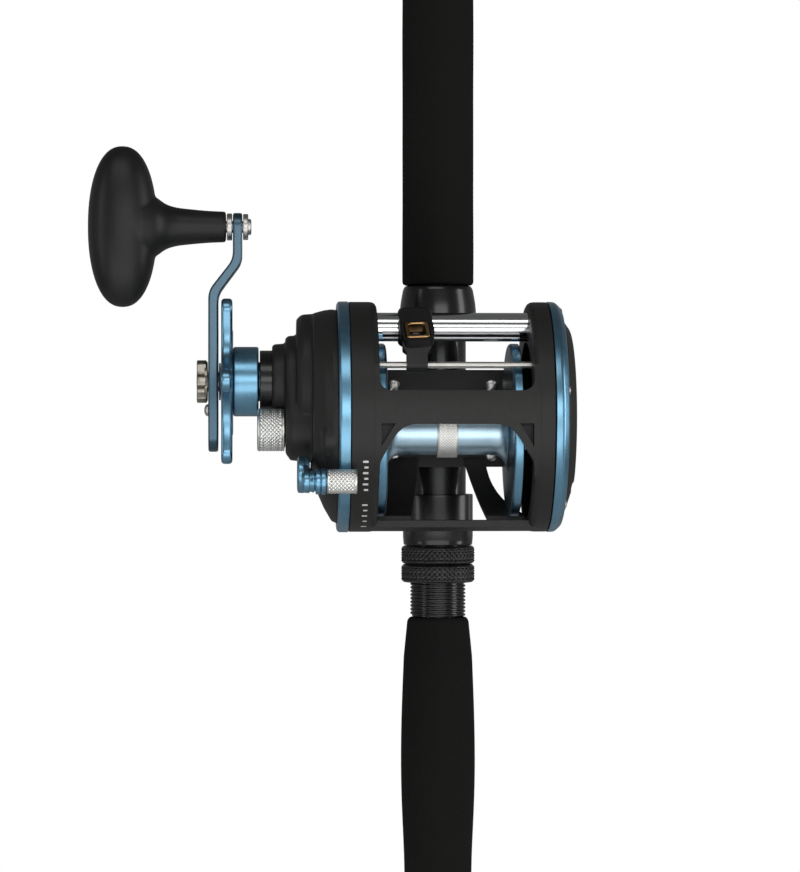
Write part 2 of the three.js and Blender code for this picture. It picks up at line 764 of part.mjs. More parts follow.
function headSidePlate() {
  const skirt = turnedX(disc(gearDomeFace - 1, coverOpen, coverRadius - 0.6), facets.wide, plateCentre);
  const dome = hullX([
    atGear(coverOpen - 2, gearDomeRadius + 1),
    atGear(gearDomeFace + 2.2, gearDomeRadius - 0.4),
    atGear(gearDomeFace, gearDomeRadius - 2.6),
  ], facets.wide);
  const terrace = hullX([
    atGear(-50, 18.4), atGear(terraceFace + 1.1, 17.6), atGear(terraceFace, 16.6),
    atSpool(-50, 12.6), atSpool(terraceFace + 1.9, 11.6), atSpool(terraceFace, 8.9),
  ], facets.middle);
  const boss = turnedX([
    [-60, 0], [-60, 14.8], [bossFace + 1, 14.3], [bossFace, 13.4], [bossFace, 0],
  ], facets.middle, gearAxis);
  const collar = turnedX([
    [bossFace + 2, 0], [bossFace + 2, collarRadius], [collarFace, collarRadius], [collarFace, 0],
  ], facets.middle, gearAxis);
  const neck = turnedX(disc(-66, -60, controlNeckRadius), facets.small);
  const leverBoss = turnedX(disc(leverBossFace, -44, 5.6), facets.small, leverPivot);
  const outside = join(
    cut(
      join(hullX(coverRings, facets.wide), common(dome, skirt), terrace, boss, collar),
      turnedX(disc(-80, terraceFace, capRadius + play), facets.middle),
    ),
    neck,
    leverBoss,
  );
  const innerSkirt = turnedX(
    disc(gearDomeFace + coverWall, coverOpen + 1, coverRadius - coverWall - 0.2), facets.wide, plateCentre,
  );
  const gearRoom = turnedX(
    disc(gearDomeFace + coverWall, coverOpen + 1, gearDomeRadius - coverWall), facets.wide, gearAxis,
  );
  const yokeRoom = turnedX(disc(yokeRoomFace, -45, yokeRoomRadius), facets.middle);
  return cut(
    outside,
    hullX(insideRings, facets.wide),
    common(gearRoom, innerSkirt),
    yokeRoom,
    turnedX(
      disc(collarFace - 1, gearDomeFace + coverWall + 1, starSleeveRadius + play), facets.small, gearAxis,
    ),
    turnedX(disc(-67, -58, shaftEndRadius + play), facets.small),
    turnedX(disc(-53, -44, leverShaftRadius + play), facets.small, leverPivot),
  );
}
piece(reel, "head_side_plate", "graphite", headSidePlate());

const clickerSpot = { y: -18, z: -17.5 };
const clickerSlot = 5;

function tailSidePlate() {
  const inner = tailRingInner;
  const face = 46.8;
  const outside = turnedX([
    [inner, 0],
    [inner, tailCoverRadius],
    [tailRingFace + 0.6, tailCoverRadius],
    [face - 0.6, tailCoverRadius - 2.6],
    [face, tailCoverRadius - 4],
    [face, tailCoverRadius - 8],
    [face - 0.7, tailCoverRadius - 14],
    [face - 0.3, 0],
  ], facets.wide, plateCentre);
  const scoop = slabY(outline([
    [face + 1, -20],
    [face - 0.9, -23],
    [face - 3, -36],
    [face + 1, -42],
  ]), -60, 60);
  const room = turnedX([
    [inner - 1, 0],
    [inner - 1, tailCoverRadius - 2.2],
    [face - 3.4, tailCoverRadius - 4.4],
    [face - 2.3, tailCoverRadius - 12],
    [face - 2.3, 0],
  ], facets.wide, plateCentre);
  const hub = turnedX(disc(33, face - 2, bearingRadius + fit + 2), facets.middle);
  const shell = join(cut(outside, room, scoop), hub);
  const pocket = turnedX(disc(face - 1.4, face + 1, 6.2), facets.small, clickerSpot);
  const slot = block(
    [face - 5, face + 1],
    [clickerSpot.y - clickerSlot, clickerSpot.y + clickerSlot],
    [clickerSpot.z - 1.6, clickerSpot.z + 1.6],
  );
  return cut(
    shell,
    turnedX(disc(32, 38.2, bearingRadius + fit), facets.middle),
    turnedX(disc(32, 43, shaftEndRadius + play + 1), facets.small),
    pocket,
    slot,
  );
}
piece(reel, "tail_side_plate", "graphite", tailSidePlate());

// ---------------------------------------------------------------- gears
function gearShape(teeth, module, phase, bore) {
  const pitchRadius = (teeth * module) / 2;
  const step = TURN / teeth;
  const levels = [
    [-0.3, pitchRadius - 1.05 * module],
    [-0.105, pitchRadius + 0.7 * module],
    [0.105, pitchRadius + 0.7 * module],
    [0.3, pitchRadius - 1.05 * module],
  ];
  const points = [];
  for (let i = 0; i < teeth; i++) {
    for (const [across, radius] of levels) {
      const angle = phase + (i + across) * step;
      points.push([radius * Math.cos(angle), radius * Math.sin(angle)]);
    }
  }
  const shape = outline(points);
  shape.holes.push(new THREE.Path().absarc(0, 0, bore, 0, TURN, true));
  return shape;
}

const directionFrom = (a, b) => Math.atan2(b.z - a.z, b.y - a.y);

// Phase of the second gear that puts one of its gaps on the first gear's tooth.
function meshedPhase(phase, teeth, nextTeeth, direction) {
  const step = TURN / teeth;
  const offset = phase - direction - step * Math.round((phase - direction) / step);
  return direction + Math.PI - offset * (teeth / nextTeeth) + Math.PI / nextTeeth;
}

function gearX(shape, from, to, axis) {
  return slabX(shape, from, to, 10).translate(0, axis.y, axis.z);
}

// The idler stands where its circle meets both the drive gear's and the worm gear's.
function idlerPlace() {
  const reachDrive = ((driveTeeth + idlerTeeth) * windModule) / 2;
  const reachWorm = ((wormTeeth + idlerTeeth) * windModule) / 2;
  const span = Math.hypot(wormAxis.y - gearAxis.y, wormAxis.z - gearAxis.z);
  const along = (reachDrive ** 2 - reachWorm ** 2 + span ** 2) / (2 * span);
  const aside = Math.sqrt(reachDrive ** 2 - along ** 2);
  const y = (wormAxis.y - gearAxis.y) / span;
  const z = (wormAxis.z - gearAxis.z) / span;
  return { y: gearAxis.y + along * y - aside * z, z: gearAxis.z + along * z + aside * y };
}
const idlerAxis = idlerPlace();

const mainPhase = directionFrom(gearAxis, { y: 0, z: 0 });
const pinionPhase = meshedPhase(mainPhase, mainTeeth, pinionTeeth, mainPhase);
const drivePhase = directionFrom(gearAxis, idlerAxis);
const idlerPhase = meshedPhase(drivePhase, driveTeeth, idlerTeeth, drivePhase);
const wormPhase = meshedPhase(
  idlerPhase, idlerTeeth, wormTeeth, directionFrom(idlerAxis, wormAxis),
);
const windGearInner = windGearFace + windGearWidth;
const mainGearInner = mainGearFace + mainGearWidth;

piece(reel, "main_gear", "brass", gearX(
  gearShape(mainTeeth, gearModule, mainPhase, gearShaftRadius + fit),
  mainGearFace, mainGearInner, gearAxis,
));
piece(reel, "drag_washer", "fibre", turnedX(
  sleeve(mainGearFace - 1.2, mainGearFace - fit, gearShaftRadius + fit, dragWasherRadius),
  facets.middle, gearAxis,
));
piece(reel, "drag_plate", "steel", turnedX(
  sleeve(mainGearFace - 2.7, mainGearFace - 1.5, gearShaftRadius + fit, dragPlateRadius),
  facets.middle, gearAxis,
));

const handleEnd = armInner - armThickness;
const shaftTip = handleEnd - 3;
const shaftTipRadius = 3.8;
piece(reel, "gear_shaft", "steel", join(
  turnedX([
    [-35.4, 0],
    [-35.4, shaftInnerRadius],
    [windGearInner, shaftInnerRadius],
    [windGearInner, gearShaftRadius],
    [armInner + 0.5, gearShaftRadius],
    [armInner + 0.5, shaftTipRadius],
    [shaftTip, shaftTipRadius],
    [shaftTip, 0],
  ], facets.small, gearAxis),
  gearX(gearShape(driveTeeth, windModule, drivePhase, 4), windGearFace, windGearInner, gearAxis),
));

const ratchetFace = -44.8;
const ratchetInner = -43;
const ratchetRadius = 11;
const ratchetTeeth = 12;

function ratchetWheel() {
  const points = [];
  for (let i = 0; i < ratchetTeeth; i++) {
    const start = (i / ratchetTeeth) * TURN;
    const end = start + (0.94 * TURN) / ratchetTeeth;
    points.push([(ratchetRadius - 2) * Math.cos(start), (ratchetRadius - 2) * Math.sin(start)]);
    points.push([ratchetRadius * Math.cos(end), ratchetRadius * Math.sin(end)]);
  }
  const shape = outline(points);
  shape.holes.push(new THREE.Path().absarc(0, 0, gearShaftRadius + fit, 0, TURN, true));
  return gearX(shape, ratchetFace, ratchetInner, gearAxis);
}
piece(reel, "ratchet_wheel", "steel", ratchetWheel());

const dogPivot = { y: 28, z: 5 };
function antiReverseDog() {
  const towards = directionFrom(dogPivot, gearAxis);
  const reach = Math.hypot(gearAxis.y - dogPivot.y, gearAxis.z - dogPivot.z);
  const tip = reach - ratchetRadius - play;
  const shape = new THREE.Shape();
  shape.absarc(0, 0, 3.2, 0.6, TURN - 0.6, false);
  shape.lineTo(tip, -1.6);
  shape.lineTo(tip, 1.2);
  shape.closePath();
  shape.holes.push(new THREE.Path().absarc(0, 0, studRadius + fit, 0, TURN, true));
  const flat = slabX(shape, ratchetFace, ratchetInner, 8);
  return flat.rotateX(towards).translate(0, dogPivot.y, dogPivot.z);
}
piece(reel, "anti_reverse_dog", "steel", antiReverseDog());

const pinionFace = -52.2;
const pinionInner = -44.6;
const grooveFace = -56.3; // the yoke's groove, and its floor
const grooveInner = -54.1;
const grooveRadius = 4.1;

function pinionGear() {
  const bore = shaftEndRadius + fit;
  const teeth = gearX(
    gearShape(pinionTeeth, gearModule, pinionPhase, bore), pinionFace, pinionInner, { y: 0, z: 0 },
  );
  const grooved = turnedX([
    [pinionFace - 0.2, bore], [pinionFace + 0.2, pinionShoulder], [grooveInner, pinionShoulder],
    [grooveInner, grooveRadius], [grooveFace, grooveRadius], [grooveFace, pinionShoulder],
    [grooveFace - 1.3, pinionShoulder], [grooveFace - 1.3, bore], [pinionFace - 0.2, bore],
  ], facets.small);
  const driver = turnedX(sleeve(pinionInner - fit, pinionInner + 2.2, bore, 3.9), facets.small);
  const slot = block([pinionInner + 0.2, pinionInner + 2.6], [-6, 6], [-1.1, 1.1]);
  return cut(join(teeth, grooved, driver), slot);
}
piece(reel, "pinion_gear", "brass", pinionGear());

function clutchYoke() {
  const notch = grooveRadius + play;
  const shape = new THREE.Shape();
  shape.moveTo(-6, -6.8);
  shape.lineTo(6, -6.8);
  shape.lineTo(8.6, -3.5);
  shape.lineTo(8.6, 2);
  shape.lineTo(notch, 2);
  shape.lineTo(notch, 0);
  shape.absarc(0, 0, notch, 0, Math.PI, true);
  shape.lineTo(-notch, 2);
  shape.lineTo(-8.6, 2);
  shape.lineTo(-8.6, -3.5);
  shape.closePath();
  return slabX(shape, grooveFace + fit, grooveInner - fit, 6);
}
piece(reel, "clutch_yoke", "steel", clutchYoke());

piece(reel, "idler_gear", "brass", gearX(
  gearShape(idlerTeeth, windModule, idlerPhase, studRadius + fit),
  windGearFace, windGearInner, idlerAxis,
));
piece(reel, "worm_gear", "brass", gearX(
  gearShape(wormTeeth, windModule, wormPhase, wormEndRadius + fit),
  windGearFace, windGearInner, wormAxis,
));

function bridgePlate() {
  const face = -37.3;
  const inner = -35.1;
  const plate = turnedX(disc(face, inner, spoolRoom - fit), facets.wide);
  const hub = turnedX(disc(face + 1, inner + bearingWidth, bearingRadius + fit + 1.8), facets.middle);
  const stud = (axis, end) => turnedX(disc(end, face + 1, studRadius), facets.small, axis);
  return cut(
    join(plate, hub, stud(idlerAxis, windGearFace - 0.6), stud(dogPivot, ratchetFace - 0.6)),
    turnedX(disc(inner + fit, inner + bearingWidth + 1, bearingRadius + fit), facets.middle),
    turnedX(disc(face - 1, inner + 2, shaftRadius + play), facets.small),
    turnedX(disc(face - 1, inner + 2, shaftInnerRadius + play), facets.small, gearAxis),
  );
}
piece(reel, "bridge_plate", "steel", bridgePlate());

// ---------------------------------------------------------------- spool
function spoolBody() {
  const half = [
    [27.3, shaftRadius + fit],
    [27.3, 7],
    [25.3, 8],
    [25.3, flangeRadius - 2.2],
    [27.2, flangeRadius - 1.6],
    [27.2, flangeRadius],
    [24.2, flangeRadius],
    [flangeGap, flangeRadius - 0.8],
    [flangeGap - 0.2, 15.5],
    [flangeGap - 1.2, 12],
    [flangeGap - 3.2, 10.1],
    [flangeGap - 6, arborRadius],
  ];
  const other = half.map(([along, radius]) => [-along, radius]).reverse();
  return turnedX([...half, ...other, half[0]], facets.wide);
}
piece(reel, "spool", "blue", spoolBody());
piece(reel, "arbor_band", "steel", turnedX(
  sleeve(-bandHalfWidth, bandHalfWidth, arborRadius + fit, arborRadius + 1.1), facets.middle,
));

piece(reel, "spool_shaft", "steel", join(
  turnedX([
    [-65.4, 0], [-65.4, shaftEndRadius], [-41.4, shaftEndRadius], [-41.4, shaftRadius],
    [37.9, shaftRadius], [37.9, shaftEndRadius], [42, shaftEndRadius], [42, 0],
  ], facets.small),
  block([-43.9, -42.9], [-3.8, 3.8], [-0.6, 0.6]),
));

const bearing = (from) =>
  turnedX([
    [from, shaftRadius + fit],
    [from, bearingRadius - 0.5],
    [from + 0.5, bearingRadius],
    [from + bearingWidth - 0.5, bearingRadius],
    [from + bearingWidth, bearingRadius - 0.5],
    [from + bearingWidth, shaftRadius + fit],
    [from, shaftRadius + fit],
  ], facets.small);
piece(reel, "head_bearing", "steel", bearing(-34.5));
piece(reel, "tail_bearing", "steel", bearing(33.6));

function clickGear() {
  const points = [];
  const teeth = 18;
  for (let i = 0; i < teeth; i++) {
    const start = (i / teeth) * TURN;
    const half = (0.5 / teeth) * TURN;
    points.push([8.2 * Math.cos(start), 8.2 * Math.sin(start)]);
    points.push([9.6 * Math.cos(start + half), 9.6 * Math.sin(start + half)]);
  }
  const shape = outline(points);
  shape.holes.push(new THREE.Path().absarc(0, 0, shaftRadius + fit, 0, TURN, true));
  return slabX(shape, 28, 29.6, 7);
}
piece(reel, "click_gear", "steel", clickGear());

// The clicker's button slides along Y in its slot and carries a pawl to the click gear.
function clickerButton() {
  const knob = turnedX([[45.8, 0], [45.8, 2.4], [46.5, 2.4], [46.8, 2], [46.8, 0]], facets.small, {
    y: clickerSpot.y - 2.4,
    z: clickerSpot.z,
  });
  const stem = block(
    [41.4, 46.2],
    [clickerSpot.y - 3.4, clickerSpot.y - 1.4],
    [clickerSpot.z - 1.1, clickerSpot.z + 1.1],
  );
  return join(knob, stem);
}
piece(reel, "clicker_button", "steel", clickerButton());

function clickPawl() {
  const shape = outline([
    [-23.4, -19.6], [-18, -19.6], [-12.6, -8], [-12.6, -5.4], [-15, -5.4], [-23.4, -15.4],
  ]);
  const plate = slabX(shape, 39.4, 41.1);
  const finger = block([28.2, 40], [-14.8, -13], [-7.6, -6]);
  return join(plate, finger);
}
piece(reel, "click_pawl", "steel", clickPawl());

// ---------------------------------------------------------------- level wind
function levelWindTube() {
  const from = headPlateInner - 3;
  const to = tailPlateInner + 2;
  const tube = turnedX(sleeve(from, to, tubeRadius - tubeWall, tubeRadius), facets.small, wormAxis);
  const slot = block([from + 6, to - 6], [-1.7, 1.7], [-tubeRadius - 1, 0]);
  const aim = Math.atan2(-wormAxis.y, wormAxis.z);
  slot.rotateX(-aim - 0.75).translate(0, wormAxis.y, wormAxis.z);
  return cut(tube, slot);
}
piece(reel, "level_wind_tube", "chrome", levelWindTube());

piece(reel, "worm_shaft", "steel", turnedX([
  [windGearFace - 0.6, 0],
  [windGearFace - 0.6, wormEndRadius],
  [windGearInner + fit, wormEndRadius],
  [windGearInner + fit, shaftEndRadius],
  [headPlateInner - 2.6, shaftEndRadius],
  [headPlateInner - 2.6, 3.7],
  [tailPlateInner + 1.6, 3.7],
  [tailPlateInner + 1.6, shaftEndRadius],
  [tailPlateFace - 2.4, shaftEndRadius],
  [tailPlateFace - 2.4, 0],
], facets.small, wormAxis));

piece(reel, "guide_rod", "steel", turnedX(
  disc(headPlateInner - 2.6, tailPlateInner + 2.6, guideRodRadius), facets.small, guideRodAxis,
));

const pawlAim = Math.atan2(-0.57, -0.82); // from the worm's axis towards the pawl cap
const eyeCentre = { y: -21.5, z: 36.9 };
const eyeOutside = { across: 9, along: 9.6 };
const eyeDrop = 2.4; // eye below the middle of its block
const eyeWall = 1.3;

// The eye's outline grown by a margin, between two depths, before it is tilted.
const eyeBlock = (margin, depths) =>
  block(
    [-eyeOutside.across / 2 - margin, eyeOutside.across / 2 + margin],
    [-eyeDrop - eyeOutside.along / 2 - margin, -eyeDrop + eyeOutside.along / 2 + margin],
    depths,
  );

function tilted(geometry) {
  return geometry.rotateX(eyeTilt).translate(guideCentre, eyeCentre.y, eyeCentre.z);
}

function alongPawl(profile, segments) {
  const turnedAlong = turned(profile, segments);
  turnedAlong.rotateX(-Math.PI / 2);
  turnedAlong.rotateX(pawlAim);
  return turnedAlong.translate(guideCentre, wormAxis.y, wormAxis.z);
}

function lineGuide() {
  const half = guideWidth / 2;
  const sleeveRadius = tubeRadius + play + 1.7;
  const body = turnedX(disc(guideCentre - half, guideCentre + half, sleeveRadius), facets.small, wormAxis);
  const eye = tilted(block([-half, half], [-9, 10.4], [-1.2, 2.8]));
  const housing = alongPawl(disc(2, 9.3, 5.6), facets.small);
  const arm = hullX([
    { x: guideCentre - 3.9, y: -25.6, z: 33.2, r: 1.9 },
    { x: guideCentre + 3.9, y: -25.6, z: 33.2, r: 1.9 },
    { x: guideCentre - 3.9, ...guideRodAxis, r: 3.1 },
    { x: guideCentre + 3.9, ...guideRodAxis, r: 3.1 },
  ], facets.small);
  return cut(
    join(body, eye, housing, arm),
    turnedX(disc(guideCentre - 8, guideCentre + 8, tubeRadius + play), facets.small, wormAxis),
    turnedX(disc(guideCentre - 8, guideCentre + 8, guideRodRadius + play), facets.small, guideRodAxis),
    tilted(eyeBlock(fit, [-3, 8])),
  );
}
piece(reel, "line_guide", "graphite", lineGuide());

piece(reel, "line_guide_insert", "brass", tilted(
  cut(eyeBlock(0, [-1.3, 3.2]), eyeBlock(-eyeWall, [-6, 6])),
));
piece(reel, "pawl_cap", "gloss", alongPawl([
  [9.6, 0], [9.6, 5], [10.8, 4.8], [11.6, 3.4], [11.8, 0],
], facets.small));

// ---------------------------------------------------------------- handle
const knobAxis = { y: gearAxis.y, z: gearAxis.z + crankLength };

function starDrag() {
  const shape = new THREE.Shape();
  const arms = 5;
  const tip = 4.4;
  for (let i = 0; i < arms; i++) {
    const angle = Math.PI + (i / arms) * TURN;
    const cx = (starRadius - tip) * Math.cos(angle);
    const cy = (starRadius - tip) * Math.sin(angle);
    const start = angle - Math.PI / 2;
    const first = [cx + tip * Math.cos(start), cy + tip * Math.sin(start)];
    if (i === 0) shape.moveTo(...first);
    shape.absarc(cx, cy, tip, start, angle + Math.PI / 2, false);
    const next = angle + TURN / arms;
    const valley = angle + TURN / arms / 2;
    const nx = (starRadius - tip) * Math.cos(next) + tip * Math.cos(next - Math.PI / 2);
    const ny = (starRadius - tip) * Math.sin(next) + tip * Math.sin(next - Math.PI / 2);
    shape.quadraticCurveTo(8 * Math.cos(valley), 8 * Math.sin(valley), nx, ny);
  }
  const star = slabX(shape, starFace, hubFace - 0.2, 6).translate(0, gearAxis.y, gearAxis.z);
  const hub = turnedX([
    [starFace + 0.4, 0], [starFace + 0.4, 9], [hubFace - 0.2, 9], [hubFace, hubRadius - 0.8],
    [hubFace + 0.8, hubRadius], [collarFace - fit - 0.6, hubRadius],
    [collarFace - fit, hubRadius - 0.6], [collarFace - fit, starSleeveRadius],
    [mainGearFace - 3, starSleeveRadius], [mainGearFace - 3, 0],
  ], facets.middle, gearAxis);
  return cut(
    join(star, hub),
    turnedX(disc(starFace - 1, mainGearFace, gearShaftRadius + play), facets.small, gearAxis),
  );
}
piece(reel, "star_drag", "blue", starDrag());

piece(reel, "star_spacer", "rubber", turnedX(
  sleeve(armInner + fit, starFace - fit, gearShaftRadius + fit, 7.2), facets.small, gearAxis,
));

function handleArm() {
  const inner = armInner;
  const outer = armInner - armThickness;
  const upperInner = inner + armJog;
  const upperOuter = upperInner - armTopThickness;
  const end = crankLength + 7.5;
  const side = outline([
    [outer, -30],
    [inner, -30],
    [inner, starRadius - 1.5],
    [inner + 0.7, starRadius + 1.2],
    [upperInner - 0.7, starRadius + 11.2],
    [upperInner, starRadius + 14],
    [upperInner, end],
    [upperOuter, end],
    [upperOuter, starRadius + 15],
    [upperOuter - 0.7, starRadius + 12.2],
    [outer + 0.7, starRadius + 2.9],
    [outer, starRadius + 0.2],
  ]);
  const front = new THREE.Shape();
  front.absarc(0, -20.5, 6.5, Math.PI, TURN, false);
  front.quadraticCurveTo(9.6, 0, 7.6, 16);
  front.lineTo(5.4, crankLength);
  front.absarc(0, crankLength, 5.4, 0, Math.PI, false);
  front.lineTo(-7.6, 16);
  front.quadraticCurveTo(-9.6, 0, -6.5, -20.5);
  const arm = common(
    slabY(side, -10, 10).translate(0, gearAxis.y, gearAxis.z),
    slabX(front, outer - 1, inner + armJog + 1, 8).translate(0, gearAxis.y, gearAxis.z),
  );
  return cut(
    arm,
    turnedX(disc(outer - 2, inner + 2, shaftTipRadius + fit), facets.small, gearAxis),
    turnedX(disc(outer - 2, inner + armJog + 2, knobPinRadius + fit), facets.small, knobAxis),
  );
}
piece(reel, "handle_arm", "blue", handleArm());

function handleNut() {
  const shape = new THREE.Shape();
  const lobes = 6;
  const lobe = 8.5;
  const waist = 6.6;
  for (let i = 0; i < lobes; i++) {
    const angle = (i / lobes) * TURN;
    const next = angle + TURN / lobes;
    const middle = angle + TURN / lobes / 2;
    if (i === 0) shape.moveTo(lobe, 0);
    shape.quadraticCurveTo(
      waist * Math.cos(middle), waist * Math.sin(middle), lobe * Math.cos(next), lobe * Math.sin(next),
    );
  }
  const outer = handleEnd - fit;
  const nut = slabX(shape, outer - 4.2, outer, 4).translate(0, gearAxis.y, gearAxis.z);
  const bore = disc(shaftTip - fit, handleEnd + 1, shaftTipRadius + fit);
  return cut(nut, turnedX(bore, facets.small, gearAxis));
}
piece(reel, "handle_nut", "steel", handleNut());

const armTopInner = armInner + armJog;
const armTopOuter = armTopInner - armTopThickness;
const bushingEnd = armTopOuter - fit - 2;
const knobStart = bushingEnd - fit;
piece(reel, "knob_pin", "steel", turnedX([
  [armTopInner + fit + 3.2, 0],
  [armTopInner + fit + 3.2, 2.6],
  [armTopInner + fit + 2.8, 3.1],
  [armTopInner + fit + 2, 3.1],
  [armTopInner + fit + 2, 5],
  [armTopInner + fit, 5],
  [armTopInner + fit, knobPinRadius],
  [knobPinTip, knobPinRadius],
  [knobPinTip, 0],
], facets.small, knobAxis));
piece(reel, "knob_bushing", "steel", turnedX(
  sleeve(bushingEnd, armTopOuter - fit, knobPinRadius + fit, 5.2), facets.small, knobAxis,
));

function handleKnob() {
  const bulbMiddle = (knobEnd + bulbInner) / 2;
  const bulb = welded(new THREE.SphereGeometry(1, facets.middle, 12));
  bulb.rotateX(Math.PI / 2);
  bulb.scale(bulbMiddle - knobEnd, knobHalfDepth, knobHalfHeight);
  bulb.translate(bulbMiddle, knobAxis.y, knobAxis.z);
  const stem = turnedX([
    [knobStart, 0],
    [knobStart, knobStemRadius - 0.5],
    [knobStart - 0.5, knobStemRadius],
    [-103, 7.4],
    [-108, 8.6],
    [-112, 11],
    [-116, 12.6],
    [-122, 12.6],
    [-122, 0],
  ], facets.small, knobAxis);
  const bore = turnedX(disc(knobPinTip - 0.6, knobStart + 1, knobPinRadius + play), facets.small, knobAxis);
  return cut(join(bulb, stem), bore);
}
piece(reel, "handle_knob", "rubber", handleKnob());

// ---------------------------------------------------------------- cast control and lever
piece(reel, "cast_control_cap", "steel", turnedX([
  [capFace, 0],
  [capFace, capRadius - 0.9],
  [capFace + 0.9, capRadius],
  [capInner - 0.5, capRadius],
  [capInner, capRadius - 0.5],
  [capInner, controlNeckRadius + play],
  [capBoreFace, controlNeckRadius + play],
  [capBoreFace, 0],
], facets.middle));

function freespoolLever() {
  const aim = directionFrom(leverPivot, rollerAxis);
  const reach = Math.hypot(rollerAxis.y - leverPivot.y, rollerAxis.z - leverPivot.z);
  const shape = new THREE.Shape();
  shape.absarc(0, 0, 6.8, 0.6, TURN - 0.6, false);
  shape.lineTo(reach, -4.2);
  shape.absarc(reach, 0, 4.2, -Math.PI / 2, Math.PI / 2, false);
  shape.closePath();
  const arm = slabX(shape, leverFace, leverBack, 8).rotateX(aim);
  arm.translate(0, leverPivot.y, leverPivot.z);
  const shaft = turnedX(disc(leverBack - 1, -46, leverShaftRadius), facets.small, leverPivot);
  const collarEnd = rollerFace - fit;
  const collar = turnedX([
    [leverBack - 1, 0], [leverBack - 1, 4.2], [-51.2, 4.2], [-50.8, 4.9], [collarEnd - 0.5, 4.9],
    [collarEnd, 4.4], [collarEnd, 0],
  ], facets.small, rollerAxis);
  const pin = turnedX(disc(-48, rollerEnd - 0.7, rollerPinRadius), facets.small, rollerAxis);
  return join(arm, shaft, collar, pin);
}
piece(reel, "freespool_lever", "blue", freespoolLever());
piece(reel, "lever_roller", "steel", turnedX([
  [rollerFace, rollerPinRadius + fit],
  [rollerFace, rollerRadius - 0.4],
  [rollerFace + 0.4, rollerRadius],
  [rollerEnd - 0.5, rollerRadius],
  [rollerEnd, rollerRadius - 0.5],
  [rollerEnd, 0],
  [rollerEnd - 0.4, 0],
  [rollerEnd - 0.4, rollerPinRadius + fit],
  [rollerFace, rollerPinRadius + fit],
], facets.middle, rollerAxis));

export default rod;
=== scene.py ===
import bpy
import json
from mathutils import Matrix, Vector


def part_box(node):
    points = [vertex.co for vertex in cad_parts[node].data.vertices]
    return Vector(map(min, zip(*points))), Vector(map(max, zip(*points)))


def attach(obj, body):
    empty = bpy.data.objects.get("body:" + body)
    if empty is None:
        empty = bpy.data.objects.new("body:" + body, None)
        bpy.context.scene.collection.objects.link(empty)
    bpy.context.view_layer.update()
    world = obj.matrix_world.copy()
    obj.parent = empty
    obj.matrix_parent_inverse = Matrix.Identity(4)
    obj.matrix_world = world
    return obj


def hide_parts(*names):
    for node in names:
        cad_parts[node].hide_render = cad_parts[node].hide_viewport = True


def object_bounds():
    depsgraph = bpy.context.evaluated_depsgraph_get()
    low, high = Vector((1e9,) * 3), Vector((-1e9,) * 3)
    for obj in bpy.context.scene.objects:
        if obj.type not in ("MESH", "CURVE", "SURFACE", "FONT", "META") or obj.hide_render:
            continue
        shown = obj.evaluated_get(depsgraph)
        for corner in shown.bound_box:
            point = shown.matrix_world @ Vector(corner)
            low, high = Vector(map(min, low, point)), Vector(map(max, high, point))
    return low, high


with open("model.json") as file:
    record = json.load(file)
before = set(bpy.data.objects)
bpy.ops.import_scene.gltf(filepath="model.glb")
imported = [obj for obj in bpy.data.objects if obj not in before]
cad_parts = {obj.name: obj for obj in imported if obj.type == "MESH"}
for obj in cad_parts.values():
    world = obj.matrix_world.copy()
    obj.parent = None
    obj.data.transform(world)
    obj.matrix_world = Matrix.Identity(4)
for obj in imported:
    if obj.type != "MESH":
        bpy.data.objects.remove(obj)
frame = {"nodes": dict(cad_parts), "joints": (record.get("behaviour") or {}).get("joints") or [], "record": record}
cad_low, cad_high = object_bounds()
print("model size in mm:", [round(c * 1000, 1) for c in cad_high - cad_low])

# %% [markdown]
# Everything is drawn in millimetres and stored in metres. The joints of the model say where its shafts
# are, so no place is typed twice: the reel's own origin is the axis of the spool, and the other shafts
# are given from there.
# %% Places taken from the model
import json
import math

import bmesh
import bpy
import numpy as np
from mathutils import Matrix, Vector

MM = 0.001
TURN = 2 * math.pi
record = frame["record"]
joints = {joint["name"]: joint for joint in frame["joints"]}


def joint_place(name):
    return Vector(joints[name]["pos_m"]) / MM


REEL = Vector((0, *joint_place("spool_spin")[1:]))
ROD = Vector((0, 0, 0))


def axis_of(name):
    return tuple((joint_place(name) - REEL)[1:])


def middle_of(node):
    low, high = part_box(node)
    return tuple(((low + high) / 2 / MM - REEL)[1:])


def span(node, axis=0, origin=REEL):
    low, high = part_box(node)
    return low[axis] / MM - origin[axis], high[axis] / MM - origin[axis]


GEAR = axis_of("handle_spin")
KNOB = axis_of("knob_spin")
LEVER = axis_of("freespool_lever_swing")
WORM = axis_of("worm_spin")
PLATE = middle_of("head_trim_ring")
ROLLER = middle_of("lever_roller")
GUIDE_ROD = middle_of("guide_rod")
CENTRE = (0.0, 0.0)
print("reel origin", tuple(REEL), "gear shaft", GEAR, "plate centre", PLATE)

# %% [markdown]
# The camera looks level along +Y from the side that the reel is on, about 1.25 m away, turned a little
# towards +X. A long lens at that distance shows the ends of the round plates only as slim ovals.
# %% Camera
cam_data = bpy.data.cameras.new("camera")
camera = bpy.data.objects.new("camera", cam_data)
bpy.context.scene.collection.objects.link(camera)
bpy.context.scene.camera = camera
cam_data.sensor_width = 36
cam_data.lens = 128.48
cam_data.clip_start, cam_data.clip_end = 0.01, 50
TURN_TO_TIP = math.radians(2.576)
camera.location = Vector((-71.2, -1245.0, REEL.z - 2.3)) * MM
look = Vector((math.sin(TURN_TO_TIP), math.cos(TURN_TO_TIP), 0))
camera.rotation_mode = "QUATERNION"
camera.rotation_quaternion = look.to_track_quat("-Z", "Y")
print("camera at", tuple(camera.location))

